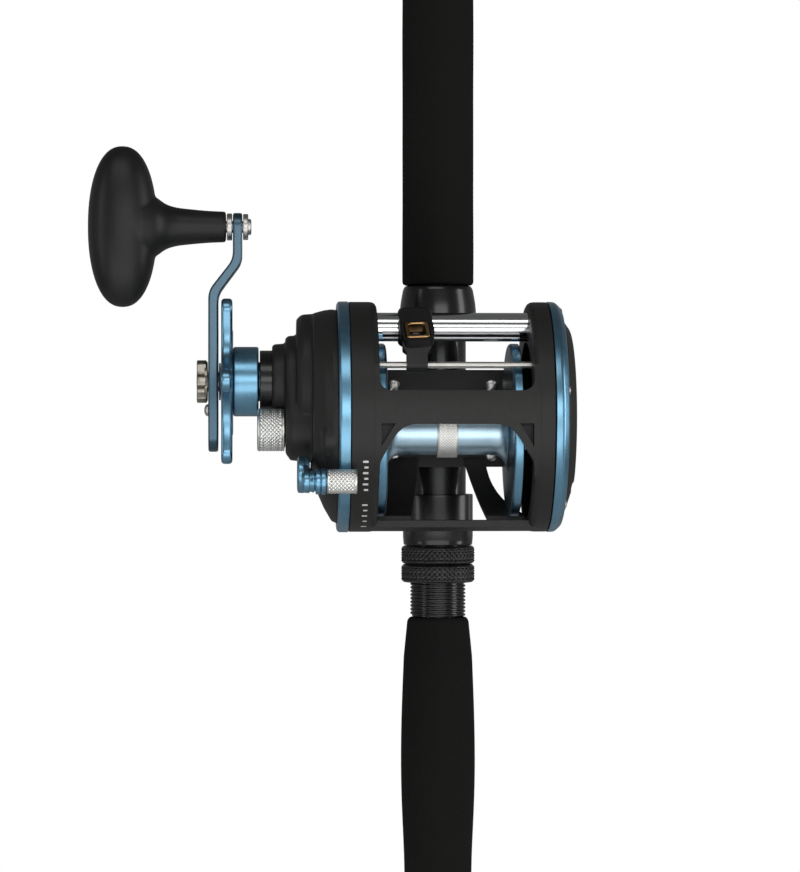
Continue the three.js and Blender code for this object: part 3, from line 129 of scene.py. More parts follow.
# %% [markdown]
# The room is white to the camera. What the metal mirrors is another matter: polished parts need something
# dark to mirror as well as something bright, or they look like paper. So the room that the reflections
# see is a soft grey that falls off below the horizon, with soft boxes in front, above and at both sides.
# %% Room and lights
scene = bpy.context.scene
scene.view_settings.view_transform = "Standard"
world = bpy.data.worlds.new("studio")
scene.world = world
world.use_nodes = True
room = world.node_tree
room.nodes.clear()


def put(tree, kind, inputs=(), **settings):
    """Adds a node. A socket given as a value is linked, anything else is set."""
    node = tree.nodes.new(kind)
    for key, value in settings.items():
        setattr(node, key, value)
    for key, value in dict(inputs).items():
        if isinstance(value, bpy.types.NodeSocket):
            tree.links.new(value, node.inputs[key])
        else:
            node.inputs[key].default_value = value
    return node


def ramp(tree, factor, *stops):
    """A colour ramp of (place, brightness or colour) stops."""
    node = put(tree, "ShaderNodeValToRGB", {"Fac": factor})
    while len(node.color_ramp.elements) < len(stops):
        node.color_ramp.elements.new(0.5)
    for element, (place, colour) in zip(node.color_ramp.elements, stops):
        element.position = place
        grey = isinstance(colour, (int, float))
        element.color = (colour, colour, colour, 1) if grey else (*colour, 1)
    return node.outputs["Color"]


direction = put(room, "ShaderNodeTexCoord").outputs["Generated"]
up = put(room, "ShaderNodeSeparateXYZ", {"Vector": direction}).outputs["Z"]
height = put(room, "ShaderNodeMapRange", {"Value": up, "From Min": -1.0, "From Max": 1.0}).outputs["Result"]
walls = ramp(room, height, (0.0, 0.05), (0.3, 0.14), (0.47, 0.24), (0.6, 0.24), (0.75, 0.12), (1.0, 0.10))
seen = put(room, "ShaderNodeLightPath").outputs["Is Camera Ray"]
shown = put(room, "ShaderNodeMix", {0: seen, 6: walls, 7: (1, 1, 1, 1)}, data_type="RGBA").outputs[2]
glow = put(room, "ShaderNodeBackground", {"Color": shown, "Strength": 1.0})
put(room, "ShaderNodeOutputWorld", {"Surface": glow.outputs["Background"]})


def soft_box(name, place, size, power, aim=(0, -0.03, 0.43)):
    light = bpy.data.lights.new(name, "AREA")
    light.shape = "RECTANGLE"
    light.size, light.size_y = size
    light.energy = power
    lamp = bpy.data.objects.new(name, light)
    lamp.location = place
    lamp.rotation_mode = "QUATERNION"
    lamp.rotation_quaternion = (Vector(aim) - Vector(place)).to_track_quat("-Z", "Y")
    scene.collection.objects.link(lamp)


soft_box("front_box", (0.25, -2.1, 0.74), (1.5, 0.6), 8.5)
soft_box("high_box", (-0.25, -1.3, 1.9), (1.4, 0.6), 6)
soft_box("low_box", (-0.05, -0.75, 0.08), (1.2, 0.5), 3.4)
soft_box("left_box", (-1.7, -0.75, 0.6), (0.35, 1.6), 4)
soft_box("right_box", (1.8, -0.5, 0.6), (0.6, 1.6), 11)

# %% [markdown]
# The floor is a pale disc, small enough to stay out of the camera's level view.
# %% Floor
floor_mesh = bpy.data.meshes.new("floor")
disc = bmesh.new()
bmesh.ops.create_circle(disc, cap_ends=True, segments=128, radius=0.9)
disc.to_mesh(floor_mesh)
disc.free()
floor_mesh.transform(Matrix.Translation((0, 0, -0.0005)))
floor = bpy.data.objects.new("floor", floor_mesh)
scene.collection.objects.link(floor)
pale = bpy.data.materials.new("pale_floor")
pale.use_nodes = True
paint = pale.node_tree.nodes["Principled BSDF"]
spots = put(pale.node_tree, "ShaderNodeTexNoise", {"Scale": 6.0})
tone = ramp(pale.node_tree, spots.outputs["Fac"], (0.3, 0.88), (0.7, 0.93))
pale.node_tree.links.new(tone, paint.inputs["Base Color"])
paint.inputs["Roughness"].default_value = 0.7
floor_mesh.materials.append(pale)

# %% [markdown]
# ## Finishes
# Three effects come back in most finishes, so each is a shader group built once. Moulded grain is the
# fine pebble of cast plastic and rubber. Turned marks are the tight rings a lathe tool leaves, which
# follow the profile of a round part through its UV map. Handling wear brightens edges, where hands and
# rod racks rub first.
# %% Shader groups
def group(name, takes, gives):
    tree = bpy.data.node_groups.new(name, "ShaderNodeTree")
    for label, kind, value in takes:
        socket = tree.interface.new_socket(name=label, in_out="INPUT", socket_type="NodeSocket" + kind)
        if value is not None:
            socket.default_value = value
    for label, kind in gives:
        tree.interface.new_socket(name=label, in_out="OUTPUT", socket_type="NodeSocket" + kind)
    return tree, put(tree, "NodeGroupInput").outputs, put(tree, "NodeGroupOutput").inputs


def maths(tree, operation, first, second=0.0, third=0.0):
    inputs = {0: first, 1: second, 2: third}
    return put(tree, "ShaderNodeMath", inputs, operation=operation).outputs["Value"]


grain, g_in, g_out = group(
    "moulded_grain",
    [("Place", "Vector", None), ("Grain Size", "Float", 0.0004), ("Patch Size", "Float", 0.02)],
    [("Height", "Float"), ("Patch", "Float")],
)
per_metre = maths(grain, "DIVIDE", 1.0, g_in["Grain Size"])
pebble = put(grain, "ShaderNodeTexVoronoi", {"Vector": g_in["Place"], "Scale": per_metre}, feature="SMOOTH_F1")
speck = put(grain, "ShaderNodeTexNoise", {"Vector": g_in["Place"], "Scale": per_metre, "Detail": 3.0})
wide = maths(grain, "DIVIDE", 1.0, g_in["Patch Size"])
patch = put(grain, "ShaderNodeTexNoise", {"Vector": g_in["Place"], "Scale": wide, "Detail": 4.0})
both = maths(grain, "ADD", pebble.outputs["Distance"], speck.outputs["Fac"])
grain.links.new(maths(grain, "MULTIPLY", both, 0.5), g_out["Height"])
grain.links.new(patch.outputs["Fac"], g_out["Patch"])

marks, m_in, m_out = group(
    "turned_marks",
    [("Profile", "Vector", None), ("Place", "Vector", None), ("Pitch", "Float", 0.0003)],
    [("Height", "Float"), ("Tone", "Float")],
)
along = put(marks, "ShaderNodeSeparateXYZ", {"Vector": m_in["Profile"]}).outputs["Y"]
ring_count = maths(marks, "DIVIDE", along, m_in["Pitch"])
rings = put(marks, "ShaderNodeTexNoise", {"W": ring_count, "Scale": 1.0, "Detail": 4.0}, noise_dimensions="1D")
streak = put(marks, "ShaderNodeTexNoise", {"Vector": m_in["Place"], "Scale": 160.0, "Detail": 3.0})
marks.links.new(rings.outputs["Fac"], m_out["Height"])
toned = put(marks, "ShaderNodeMix", {0: 0.5, 2: rings.outputs["Fac"], 3: streak.outputs["Fac"]})
marks.links.new(toned.outputs[0], m_out["Tone"])

wear, w_in, w_out = group(
    "handling_wear",
    [("Place", "Vector", None), ("Start", "Float", 0.56), ("Amount", "Float", 0.5)],
    [("Mask", "Float")],
)
bent = put(wear, "ShaderNodeNewGeometry").outputs["Pointiness"]
edge = put(wear, "ShaderNodeMapRange", {"Value": bent, "From Min": w_in["Start"], "From Max": 0.66})
scuff = put(wear, "ShaderNodeTexNoise", {"Vector": w_in["Place"], "Scale": 420.0, "Detail": 5.0})
broken = put(wear, "ShaderNodeMapRange", {"Value": scuff.outputs["Fac"], "From Min": 0.42, "From Max": 0.6})
worn = maths(wear, "MULTIPLY", edge.outputs["Result"], broken.outputs["Result"])
wear.links.new(maths(wear, "MULTIPLY", worn, w_in["Amount"]), w_out["Mask"])
print("shader groups:", [tree.name for tree in (grain, marks, wear)])

# %% [markdown]
# A finish is a Principled shader fed by those groups. One function lays the nodes out, and each finish
# gives its own colours, roughness, grain, relief and wear. The values that are the same all over a
# surface, such as the clear coat's roughness, are set on the shader itself.
# %% One function for every finish
finishes = {}


def finish(name, dark, light, rough, metallic=0.0, size=0.0004, relief=0.00002, patch_size=0.02,
           turned=False, worn=0.3, worn_tone=None, coat=0.0, coat_rough=0.1, shine=0.5):
    """A finish between two colours and two roughnesses, by patches, with relief in metres and worn edges."""
    material = bpy.data.materials.new(name)
    material.use_nodes = True
    tree = material.node_tree
    shader = tree.nodes["Principled BSDF"]
    coords = put(tree, "ShaderNodeTexCoord").outputs
    if turned:
        inputs = {"Profile": coords["UV"], "Place": coords["Object"], "Pitch": size}
        source = put(tree, "ShaderNodeGroup", node_tree=marks)
        patch_out = "Tone"
    else:
        inputs = {"Place": coords["Object"], "Grain Size": size, "Patch Size": patch_size}
        source = put(tree, "ShaderNodeGroup", node_tree=grain)
        patch_out = "Patch"
    for key, value in inputs.items():
        if isinstance(value, bpy.types.NodeSocket):
            tree.links.new(value, source.inputs[key])
        else:
            source.inputs[key].default_value = value
    patches = source.outputs[patch_out]
    colour = ramp(tree, patches, (0.3, dark), (0.7, light))
    rubbed = put(tree, "ShaderNodeGroup", node_tree=wear)
    tree.links.new(coords["Object"], rubbed.inputs["Place"])
    rubbed.inputs["Amount"].default_value = worn
    edge_colour = worn_tone or tuple(min(1.0, c * 2.2 + 0.02) for c in light)
    mixed = put(tree, "ShaderNodeMix", {0: rubbed.outputs["Mask"], 6: colour, 7: (*edge_colour, 1)},
                data_type="RGBA")
    tree.links.new(mixed.outputs[2], shader.inputs["Base Color"])
    roughness = put(tree, "ShaderNodeMapRange", {
        "Value": patches, "From Min": 0.3, "From Max": 0.7, "To Min": rough[0], "To Max": rough[1],
    })
    tree.links.new(roughness.outputs["Result"], shader.inputs["Roughness"])
    raised = source.outputs["Height"]
    bump = put(tree, "ShaderNodeBump", {"Height": raised, "Distance": relief, "Strength": 1.0})
    tree.links.new(bump.outputs["Normal"], shader.inputs["Normal"])
    shader.inputs["Metallic"].default_value = metallic
    shader.inputs["Specular IOR Level"].default_value = shine
    shader.inputs["Coat Weight"].default_value = coat
    shader.inputs["Coat Roughness"].default_value = coat_rough
    finishes[name] = material
    return material


# %% [markdown]
# The reel's frame and covers are carbon-filled nylon, a soft charcoal with a fine pebble. The grips are
# closed-cell foam, duller and coarser. The seat, hoods and blank are glossy black. The knob has a soft
# skin that barely shines.
# %% Black finishes
finish("graphite", (0.014, 0.014, 0.0136), (0.019, 0.019, 0.018), (0.40, 0.50), size=0.00035, relief=0.00003,
       patch_size=0.06, worn=0.04, shine=0.28)
finish("eva_foam", (0.0060, 0.0060, 0.0056), (0.0090, 0.0090, 0.0084), (0.80, 0.92), size=0.0006,
       relief=0.00012, patch_size=0.03, worn=0.03, shine=0.12)
finish("gloss_black", (0.003, 0.003, 0.0034), (0.0055, 0.0055, 0.006), (0.22, 0.30), size=0.0009,
       relief=0.000004, worn=0.06, coat=0.2, coat_rough=0.12, shine=0.42)
finish("blank_black", (0.004, 0.004, 0.005), (0.009, 0.009, 0.011), (0.2, 0.3), size=0.0004, relief=0.000006,
       turned=True, worn=0.1, coat=1.0, coat_rough=0.04)
finish("knurled_black", (0.006, 0.006, 0.006), (0.010, 0.010, 0.010), (0.26, 0.36), size=0.0005,
       relief=0.00001, worn=0.4)
finish("soft_black", (0.0075, 0.0075, 0.0075), (0.011, 0.011, 0.011), (0.40, 0.48), size=0.0003, relief=0.00001,
       worn=0.1, shine=0.34)
finish("drag_fibre", (0.02, 0.018, 0.016), (0.04, 0.036, 0.03), (0.7, 0.9), size=0.0008, relief=0.00008)
finish("ring_ceramic", (0.012, 0.013, 0.015), (0.02, 0.021, 0.024), (0.05, 0.1), size=0.002, relief=0.000002)
finish("winding_thread", (0.006, 0.006, 0.007), (0.012, 0.012, 0.013), (0.2, 0.3), size=0.0004,
       relief=0.00001, coat=1.0, coat_rough=0.05)
print(len(finishes), "finishes so far")

# %% [markdown]
# The blue is dyed anodising over turned aluminium: the metal still shines through, tight lathe rings run
# round it, and the corners are a little paler. Steel, chrome, brass and the bare knurled aluminium are
# done the same way.
# %% Metal finishes
finish("blue_anodised", (0.14, 0.32, 0.46), (0.19, 0.40, 0.56), (0.26, 0.36), metallic=1.0, size=0.00028,
       relief=0.000005, turned=True, worn=0.35, worn_tone=(0.45, 0.62, 0.78), coat=0.35, coat_rough=0.22)
# A darker copy of the blue: the handle arm is given it, and on the spool's inner faces between the flanges it is
# painted shade.
finish("blue_dark_and_painted_shade", (0.055, 0.105, 0.145), (0.075, 0.135, 0.18), (0.30, 0.40), metallic=1.0, size=0.00028,
       relief=0.000005, worn=0.3, worn_tone=(0.35, 0.48, 0.6), coat=0.35, coat_rough=0.22)
# A paler copy of the blue, given to the spool's arbor as painted reflection of the bright lamps.
finish("blue_pale_painted_reflection", (0.53, 0.75, 0.90), (0.61, 0.82, 0.96), (0.33, 0.39), metallic=1.0, size=0.00028,
       relief=0.000001, turned=True, worn=0.0, worn_tone=(0.6, 0.7, 0.8), coat=0.3, coat_rough=0.3)
finish("knurled_silver", (0.76, 0.76, 0.73), (0.90, 0.90, 0.87), (0.28, 0.38), metallic=1.0, size=0.0004,
       relief=0.000006, worn=0.2)
finish("satin_steel", (0.50, 0.49, 0.46), (0.62, 0.61, 0.58), (0.30, 0.40), metallic=1.0, size=0.0003,
       relief=0.000006, turned=True, worn=0.2)
finish("machined_steel", (0.36, 0.36, 0.37), (0.52, 0.52, 0.53), (0.25, 0.4), metallic=1.0, size=0.0005,
       relief=0.00001, turned=True, worn=0.2)
finish("guide_steel", (0.10, 0.105, 0.11), (0.17, 0.175, 0.185), (0.12, 0.2), metallic=1.0, size=0.0006,
       relief=0.000004, worn=0.2)
finish("chrome_tube", (0.74, 0.75, 0.77), (0.84, 0.85, 0.86), (0.06, 0.10), metallic=1.0, size=0.0012,
       relief=0.0, worn=0.0)
finish("nut_steel", (0.26, 0.24, 0.20), (0.40, 0.38, 0.33), (0.26, 0.38), metallic=1.0, size=0.0005,
       relief=0.000008, worn=0.3)
finish("gear_brass", (0.50, 0.34, 0.13), (0.66, 0.48, 0.22), (0.22, 0.36), metallic=1.0, size=0.0005,
       relief=0.00001, turned=True)
finish("bronze_eye", (0.30, 0.16, 0.06), (0.52, 0.33, 0.16), (0.16, 0.26), metallic=1.0, size=0.0006,
       relief=0.000004)
finish("tick_paint", (0.55, 0.55, 0.54), (0.68, 0.68, 0.66), (0.4, 0.5), size=0.0003, relief=0.000008)
print(len(finishes), "finishes")

# %% [markdown]
# ## Tools for shapes
# Most of a reel is turned on a lathe, so most pieces are a profile spun about an axis. A real lathe part
# has no razor edges: every corner of a profile is rounded before it is spun. The same rounding serves
# flat outlines.
# %% Rounding a line of points
def rounded(points, radius, closed, steps=4):
    """Points with their corners rounded. A third value on a point is its own radius."""
    result = []
    for i, point in enumerate(points):
        here = Vector(point[:2])
        if not closed and i in (0, len(points) - 1):
            result.append(tuple(here))
            continue
        back = Vector(points[i - 1][:2]) - here
        ahead = Vector(points[(i + 1) % len(points)][:2]) - here
        reach = min(point[2] if len(point) > 2 else radius, 0.48 * back.length, 0.48 * ahead.length)
        if reach < 0.02:
            result.append(tuple(here))
            continue
        start = here + back.normalized() * reach
        end = here + ahead.normalized() * reach
        for k in range(steps + 1):
            t = k / steps
            result.append(tuple(start * (1 - t) ** 2 + here * (2 * t * (1 - t)) + end * t * t))
    return result


def spaced(points, step, closed):
    """The same line with no stretch between points longer than step."""
    result = []
    pairs = list(zip(points, points[1:] + points[:1] if closed else points[1:]))
    for a, b in pairs:
        count = max(1, math.ceil(math.dist(a, b) / step))
        result += [tuple(a[n] + (b[n] - a[n]) * k / count for n in (0, 1)) for k in range(count)]
    return result if closed else result + [points[-1]]


# %% [markdown]
# A mesh is made from its points in millimetres round an origin, then moved to its place in metres, so the
# object itself stays at zero. Normals are made to point outwards. The profile's length becomes the UV
# map's second value, which the turned finishes read.
# %% From points to pieces
def build(name, points, faces, origin=REEL, uvs=None, turns=None):
    mesh = bpy.data.meshes.new(name)
    mesh.from_pydata([(Vector(p) + origin) * MM for p in points], [], faces)
    if uvs:
        layer = mesh.uv_layers.new(name="profile")
        for loop, value in zip(layer.data, (uv for face in uvs for uv in face)):
            loop.uv = value
    for label, values in (turns or {}).items():
        mesh.attributes.new(label, "FLOAT", "POINT").data.foreach_set("value", values)
    shell = bmesh.new()
    shell.from_mesh(mesh)
    bmesh.ops.recalc_face_normals(shell, faces=shell.faces)
    shell.to_mesh(mesh)
    shell.free()
    piece = bpy.data.objects.new(name, mesh)
    scene.collection.objects.link(piece)
    return piece


def turned(name, profile, at=CENTRE, axis="x", origin=REEL, sides=96, corner=0.4, row=None, wobble=None):
    """A profile of (along, radius) points spun about an axis through at. It is a ring if it misses the axis."""
    ring = min(profile[0][1], profile[-1][1]) > 0
    line = rounded(profile, corner, ring)
    if row:
        line = spaced(line, row, ring)
    points, rows, where, along = [], [], [], []
    length = [0.0]
    for a, b in zip(line, line[1:] + line[:1]):
        length.append(length[-1] + math.dist(a, b))
    for here, (x, r) in enumerate(line):
        count = 1 if r < 1e-6 else sides
        rows.append(list(range(len(points), len(points) + count)))
        for k in range(count):
            angle = TURN * k / sides
            reach = r + (wobble(x, angle, r) if wobble else 0)
            across = (at[0] + reach * math.cos(angle), at[1] + reach * math.sin(angle))
            points.append((x, *across) if axis == "x" else (*across, x))
            where.append(k / sides)
            along.append(x * MM)
    faces, uvs = [], []
    pairs = [(i, i + 1) for i in range(len(rows) - 1)] + ([(len(rows) - 1, 0)] if ring else [])
    for i, j in pairs:
        v0, v1 = length[i] * MM, length[i + 1] * MM
        for k in range(sides):
            n = (k + 1) % sides
            a, b = rows[i], rows[j]
            u0, u1 = k / sides, (k + 1) / sides
            if len(a) == 1 and len(b) == 1:
                break
            if len(a) == 1:
                faces.append((a[0], b[k], b[n]))
                uvs.append(((u0, v0), (u0, v1), (u1, v1)))
            elif len(b) == 1:
                faces.append((a[k], b[0], a[n]))
                uvs.append(((u0, v0), (u0, v1), (u1, v0)))
            else:
                faces.append((a[k], b[k], b[n], a[n]))
                uvs.append(((u0, v0), (u0, v1), (u1, v1), (u1, v0)))
    return build(name, points, faces, origin, uvs, {"turn": where, "along": along} if row else None)


def slab(name, outline, low, high, across="x", origin=REEL, corner=0.0, steps=4):
    """A flat outline pushed along an axis: (y, z) along x, (x, z) along y or (x, y) along z."""
    line = rounded(outline, corner, True, steps)
    places = {"x": lambda h, p: (h, *p), "y": lambda h, p: (p[0], h, p[1]), "z": lambda h, p: (*p, h)}
    points = [places[across](h, p) for h in (low, high) for p in line]
    n = len(line)
    faces = [tuple(range(n)), tuple(range(2 * n - 1, n - 1, -1))]
    faces += [(i, (i + 1) % n, n + (i + 1) % n, n + i) for i in range(n)]
    return build(name, points, faces, origin)


def box_of(name, xs, ys, zs, origin=REEL):
    corners = [(xs[0], ys[0]), (xs[1], ys[0]), (xs[1], ys[1]), (xs[0], ys[1])]
    return slab(name, corners, *zs, across="z", origin=origin)


def hull(name, circles, sides=96, origin=REEL):
    """The tight skin round circles of (x, y, z, radius), each square to the X axis."""
    shell = bmesh.new()
    for x, y, z, r in circles:
        for k in range(sides):
            angle = TURN * k / sides
            shell.verts.new((Vector((x, y + r * math.cos(angle), z + r * math.sin(angle))) + origin) * MM)
    skin = bmesh.ops.convex_hull(shell, input=shell.verts)
    loose = [v for v in skin["geom_interior"] + skin["geom_unused"] if isinstance(v, bmesh.types.BMVert)]
    bmesh.ops.delete(shell, geom=list(set(loose)), context="VERTS")
    bmesh.ops.recalc_face_normals(shell, faces=shell.faces)
    bmesh.ops.dissolve_limit(shell, angle_limit=0.002, verts=shell.verts, edges=shell.edges)
    mesh = bpy.data.meshes.new(name)
    shell.to_mesh(mesh)
    shell.free()
    piece = bpy.data.objects.new(name, mesh)
    scene.collection.objects.link(piece)
    return piece


# %% [markdown]
# Modifiers do the joining, cutting and edge rounding, and each result is made the piece's own mesh at
# once. Faces shade smooth up to an angle, and weighted normals keep the flats flat beside a rounded edge.
# %% Joining, cutting and softening
def settle(piece):
    graph = bpy.context.evaluated_depsgraph_get()
    result = bpy.data.meshes.new_from_object(piece.evaluated_get(graph))
    old = piece.data
    piece.modifiers.clear()
    piece.data = result
    bpy.data.meshes.remove(old)
    return piece


def combine(piece, how, *tools):
    for tool in tools:
        change = piece.modifiers.new("combine", "BOOLEAN")
        change.operation, change.object, change.solver = how, tool, "EXACT"
        settle(piece)
        bpy.data.objects.remove(tool)
    return piece


def cut(piece, *tools):
    return combine(piece, "DIFFERENCE", *tools)


def join(piece, *others):
    return combine(piece, "UNION", *others)


def common(piece, *others):
    return combine(piece, "INTERSECT", *others)


def soften(piece, width, steps=2, angle=32):
    tidy = bmesh.new()
    tidy.from_mesh(piece.data)
    bmesh.ops.remove_doubles(tidy, verts=tidy.verts, dist=0.00002)
    tidy.to_mesh(piece.data)
    tidy.free()
    bevel = piece.modifiers.new("soften", "BEVEL")
    bevel.width, bevel.segments = width * MM, steps
    bevel.limit_method, bevel.angle_limit = "ANGLE", math.radians(angle)
    bevel.miter_outer = "MITER_ARC"
    return settle(piece)


def shade(piece, angle=34, flats=True):
    shell = bmesh.new()
    shell.from_mesh(piece.data)
    for face in shell.faces:
        face.smooth = True
    for edge_line in shell.edges:
        edge_line.smooth = edge_line.calc_face_angle(0.0) < math.radians(angle)
    shell.to_mesh(piece.data)
    shell.free()
    if flats:
        weigh = piece.modifiers.new("flats", "WEIGHTED_NORMAL")
        weigh.keep_sharp = True
        settle(piece)
    return piece


# %% [markdown]
# A finished piece rides on the body of the part it stands for, takes that part's material slot, and hides
# the plain part. Small trim, such as screws, rides along without hiding anything.
# %% Giving a piece its place
body_of = {node: body for body, nodes in record["behaviour"]["bodies"].items() for node in nodes}
slot_of = {row["node"]: row["material_slot"] for row in record["subparts"]}
tally = []


def dress(piece, node, look=None, smooth=34, flats=True, hides=True):
    shade(piece, smooth, flats)
    piece.data.materials.clear()
    piece.data.materials.append(finishes[look or slot_of[node]])
    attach(piece, body_of[node])
    if hides:
        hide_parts(node)
    tally.append((piece.name, len(piece.data.polygons)))
    return piece


def trim(piece, node, look=None, smooth=34, flats=True):
    return dress(piece, node, look, smooth, flats, hides=False)


# %% [markdown]
# ## Geometry Nodes that repeat
# Knurling is pressed in by two wheels whose ridges cross, which leaves rows of tiny pyramids. A tree does
# the same: it reads how far round and how far along each point lies, and sinks the points between the
# pyramids.
# %% The knurling tree
def nodes_tree(name, sizes):
    tree = bpy.data.node_groups.new(name, "GeometryNodeTree")
    tree.interface.new_socket(name="Shape", in_out="INPUT", socket_type="NodeSocketGeometry")
    for label, (kind, value) in sizes.items():
        socket = tree.interface.new_socket(name=label, in_out="INPUT", socket_type="NodeSocket" + kind)
        if value is not None:
            socket.default_value = value
    tree.interface.new_socket(name="Finish", in_out="INPUT", socket_type="NodeSocketMaterial")
    tree.interface.new_socket(name="Shape", in_out="OUTPUT", socket_type="NodeSocketGeometry")
    return tree, put(tree, "NodeGroupInput").outputs


def close_tree(tree, shape, material):
    """Every tree ends alike: instances made real, and the finish set."""
    real = put(tree, "GeometryNodeRealizeInstances", {"Geometry": shape}).outputs["Geometry"]
    coated = put(tree, "GeometryNodeSetMaterial", {"Geometry": real, "Material": material}).outputs["Geometry"]
    put(tree, "NodeGroupOutput", {0: coated})


def grow(piece, tree, values, look):
    """Runs a tree on a piece and keeps the plain mesh that comes out."""
    modifier = piece.modifiers.new(tree.name, "NODES")
    modifier.node_group = tree
    for item in tree.interface.items_tree:
        if item.item_type != "SOCKET" or item.in_out != "INPUT":
            continue
        if item.name in values:
            modifier[item.identifier] = values[item.name]
        if item.name == "Finish":
            modifier[item.identifier] = finishes[look]
    return settle(piece)


knurling, k_in = nodes_tree("knurling", {
    "Around": ("Float", 36.0), "Rows per Metre": ("Float", 400.0), "Depth": ("Float", 0.0003),
    "Low": ("Float", 0.0), "High": ("Float", 1.0), "Fade": ("Float", 0.0004),
})


def measure(tree, label):
    node = put(tree, "GeometryNodeInputNamedAttribute", {"Name": label}, data_type="FLOAT")
    return node.outputs["Attribute"]


turn_at, along_at = measure(knurling, "turn"), measure(knurling, "along")
around = maths(knurling, "MULTIPLY", turn_at, k_in["Around"])
rows_at = maths(knurling, "MULTIPLY", along_at, k_in["Rows per Metre"])
ridge = []
for sign in (1.0, -1.0):
    crossed = maths(knurling, "MULTIPLY_ADD", rows_at, sign, around)
    ridge.append(maths(knurling, "PINGPONG", crossed, 0.5))
peak = maths(knurling, "MULTIPLY", maths(knurling, "MINIMUM", *ridge), 2.0)
sunk = maths(knurling, "SUBTRACT", peak, 1.0)
above = put(knurling, "ShaderNodeMapRange", {
    "Value": maths(knurling, "SUBTRACT", along_at, k_in["Low"]), "From Min": 0.0, "From Max": k_in["Fade"],
}).outputs["Result"]
below = put(knurling, "ShaderNodeMapRange", {
    "Value": maths(knurling, "SUBTRACT", k_in["High"], along_at), "From Min": 0.0, "From Max": k_in["Fade"],
}).outputs["Result"]
strength = maths(knurling, "MULTIPLY", above, below)
depth = maths(knurling, "MULTIPLY", maths(knurling, "MULTIPLY", sunk, strength), k_in["Depth"])
outward = put(knurling, "GeometryNodeInputNormal").outputs["Normal"]
push = put(knurling, "ShaderNodeVectorMath", {0: outward, "Scale": depth}, operation="SCALE").outputs["Vector"]
pressed = put(knurling, "GeometryNodeSetPosition", {"Geometry": k_in["Shape"], "Offset": push})
close_tree(knurling, pressed.outputs["Geometry"], k_in["Finish"])
print("knurling sizes:", [s.name for s in knurling.interface.items_tree])

# %% [markdown]
# A screw thread and a whipping of thread are both a coil: a small section carried along a spiral. The
# spiral may taper, and for a whipping it rises over the foot that it ties down.
# %% The coil tree
coil, c_in = nodes_tree("coil", {
    "Turns": ("Float", 20.0), "Steps": ("Int", 32), "Start Radius": ("Float", 0.01),
    "End Radius": ("Float", 0.01), "Height": ("Float", 0.02), "Section": ("Float", 0.0003),
    "Section Sides": ("Int", 6), "Lift": ("Float", 0.0), "Base": ("Vector", (0, 0, 0)),
})
spiral = put(coil, "GeometryNodeCurveSpiral", {
    "Resolution": c_in["Steps"], "Rotations": c_in["Turns"], "Start Radius": c_in["Start Radius"],
    "End Radius": c_in["End Radius"], "Height": c_in["Height"],
})
at = put(coil, "ShaderNodeSeparateXYZ", {"Vector": put(coil, "GeometryNodeInputPosition").outputs[0]}).outputs
behind = maths(coil, "MULTIPLY", c_in["Start Radius"], -1.0)
facing = maths(coil, "MAXIMUM", maths(coil, "DIVIDE", at["Y"], behind), 0.0)
over = maths(coil, "MULTIPLY", maths(coil, "POWER", facing, 6.0), maths(coil, "MULTIPLY", c_in["Lift"], -1.0))
raise_by = put(coil, "ShaderNodeCombineXYZ", {"Y": over}).outputs["Vector"]
raised = put(coil, "GeometryNodeSetPosition", {"Geometry": spiral.outputs["Curve"], "Offset": raise_by})
section = put(coil, "GeometryNodeCurvePrimitiveCircle", {
    "Resolution": c_in["Section Sides"], "Radius": c_in["Section"],
})
swept = put(coil, "GeometryNodeCurveToMesh", {
    "Curve": raised.outputs["Geometry"], "Profile Curve": section.outputs["Curve"], "Fill Caps": True,
})
moved = put(coil, "GeometryNodeSetPosition", {"Geometry": swept.outputs["Mesh"], "Offset": c_in["Base"]})
close_tree(coil, moved.outputs["Geometry"], c_in["Finish"])


def empty_piece(name):
    piece = bpy.data.objects.new(name, bpy.data.meshes.new(name))
    scene.collection.objects.link(piece)
    return piece


def wound(name, node, look, smooth=60, **sizes):
    piece = grow(empty_piece(name), coil, sizes, look)
    return trim(piece, node, look, smooth, flats=False)


# %% [markdown]
# Screws stand in a ring or a row. A tree puts one screw on each point it is given, so a set of screws is
# one head with its slot, and a short list of places.
# %% The screw tree
setting, s_in = nodes_tree("screw_set", {"Screw": ("Object", None)})
one = put(setting, "GeometryNodeObjectInfo", {"Object": s_in["Screw"]}, transform_space="ORIGINAL")
spread = put(setting, "GeometryNodeInstanceOnPoints", {
    "Points": s_in["Shape"], "Instance": one.outputs["Geometry"],
})
close_tree(setting, spread.outputs["Instances"], s_in["Finish"])


def screw_set(name, node, places, head, height, facing, look="satin_steel", slot_turn=0.6):
    """Domed, slotted screws at places in the reel's millimetres, all facing one way."""
    bulge = [(height * (0.2 + 0.8 * math.sin(a)), head * math.cos(a)) for a in np.linspace(0, math.pi / 2, 9)]
    dome = [(0, 0), (0, head)] + bulge
    one_screw = turned(name + "_one", dome, axis="z", origin=ROD, sides=28, corner=0.15)
    slot_cut = box_of("slot", (-2 * head, 2 * head), (-0.1 * head, 0.1 * head), (0.62 * height, 2 * height),
                      ROD)
    slot_cut.data.transform(Matrix.Rotation(slot_turn, 4, "Z"))
    cut(one_screw, slot_cut)
    shade(one_screw, 40)
    one_screw.data.transform(Vector(facing).to_track_quat("Z", "Y").to_matrix().to_4x4())
    piece = empty_piece(name)
    piece.data.from_pydata([(Vector(p) + REEL) * MM for p in places], [], [])
    modifier = piece.modifiers.new("screws", "NODES")
    modifier.node_group = setting
    for item in setting.interface.items_tree:
        if item.item_type == "SOCKET" and item.in_out == "INPUT" and item.name in ("Screw", "Finish"):
            modifier[item.identifier] = one_screw if item.name == "Screw" else finishes[look]
    settle(piece)
    bpy.data.objects.remove(one_screw)
    return trim(piece, node, look, 40)


print("trees:", [tree.name for tree in (knurling, coil, setting)])

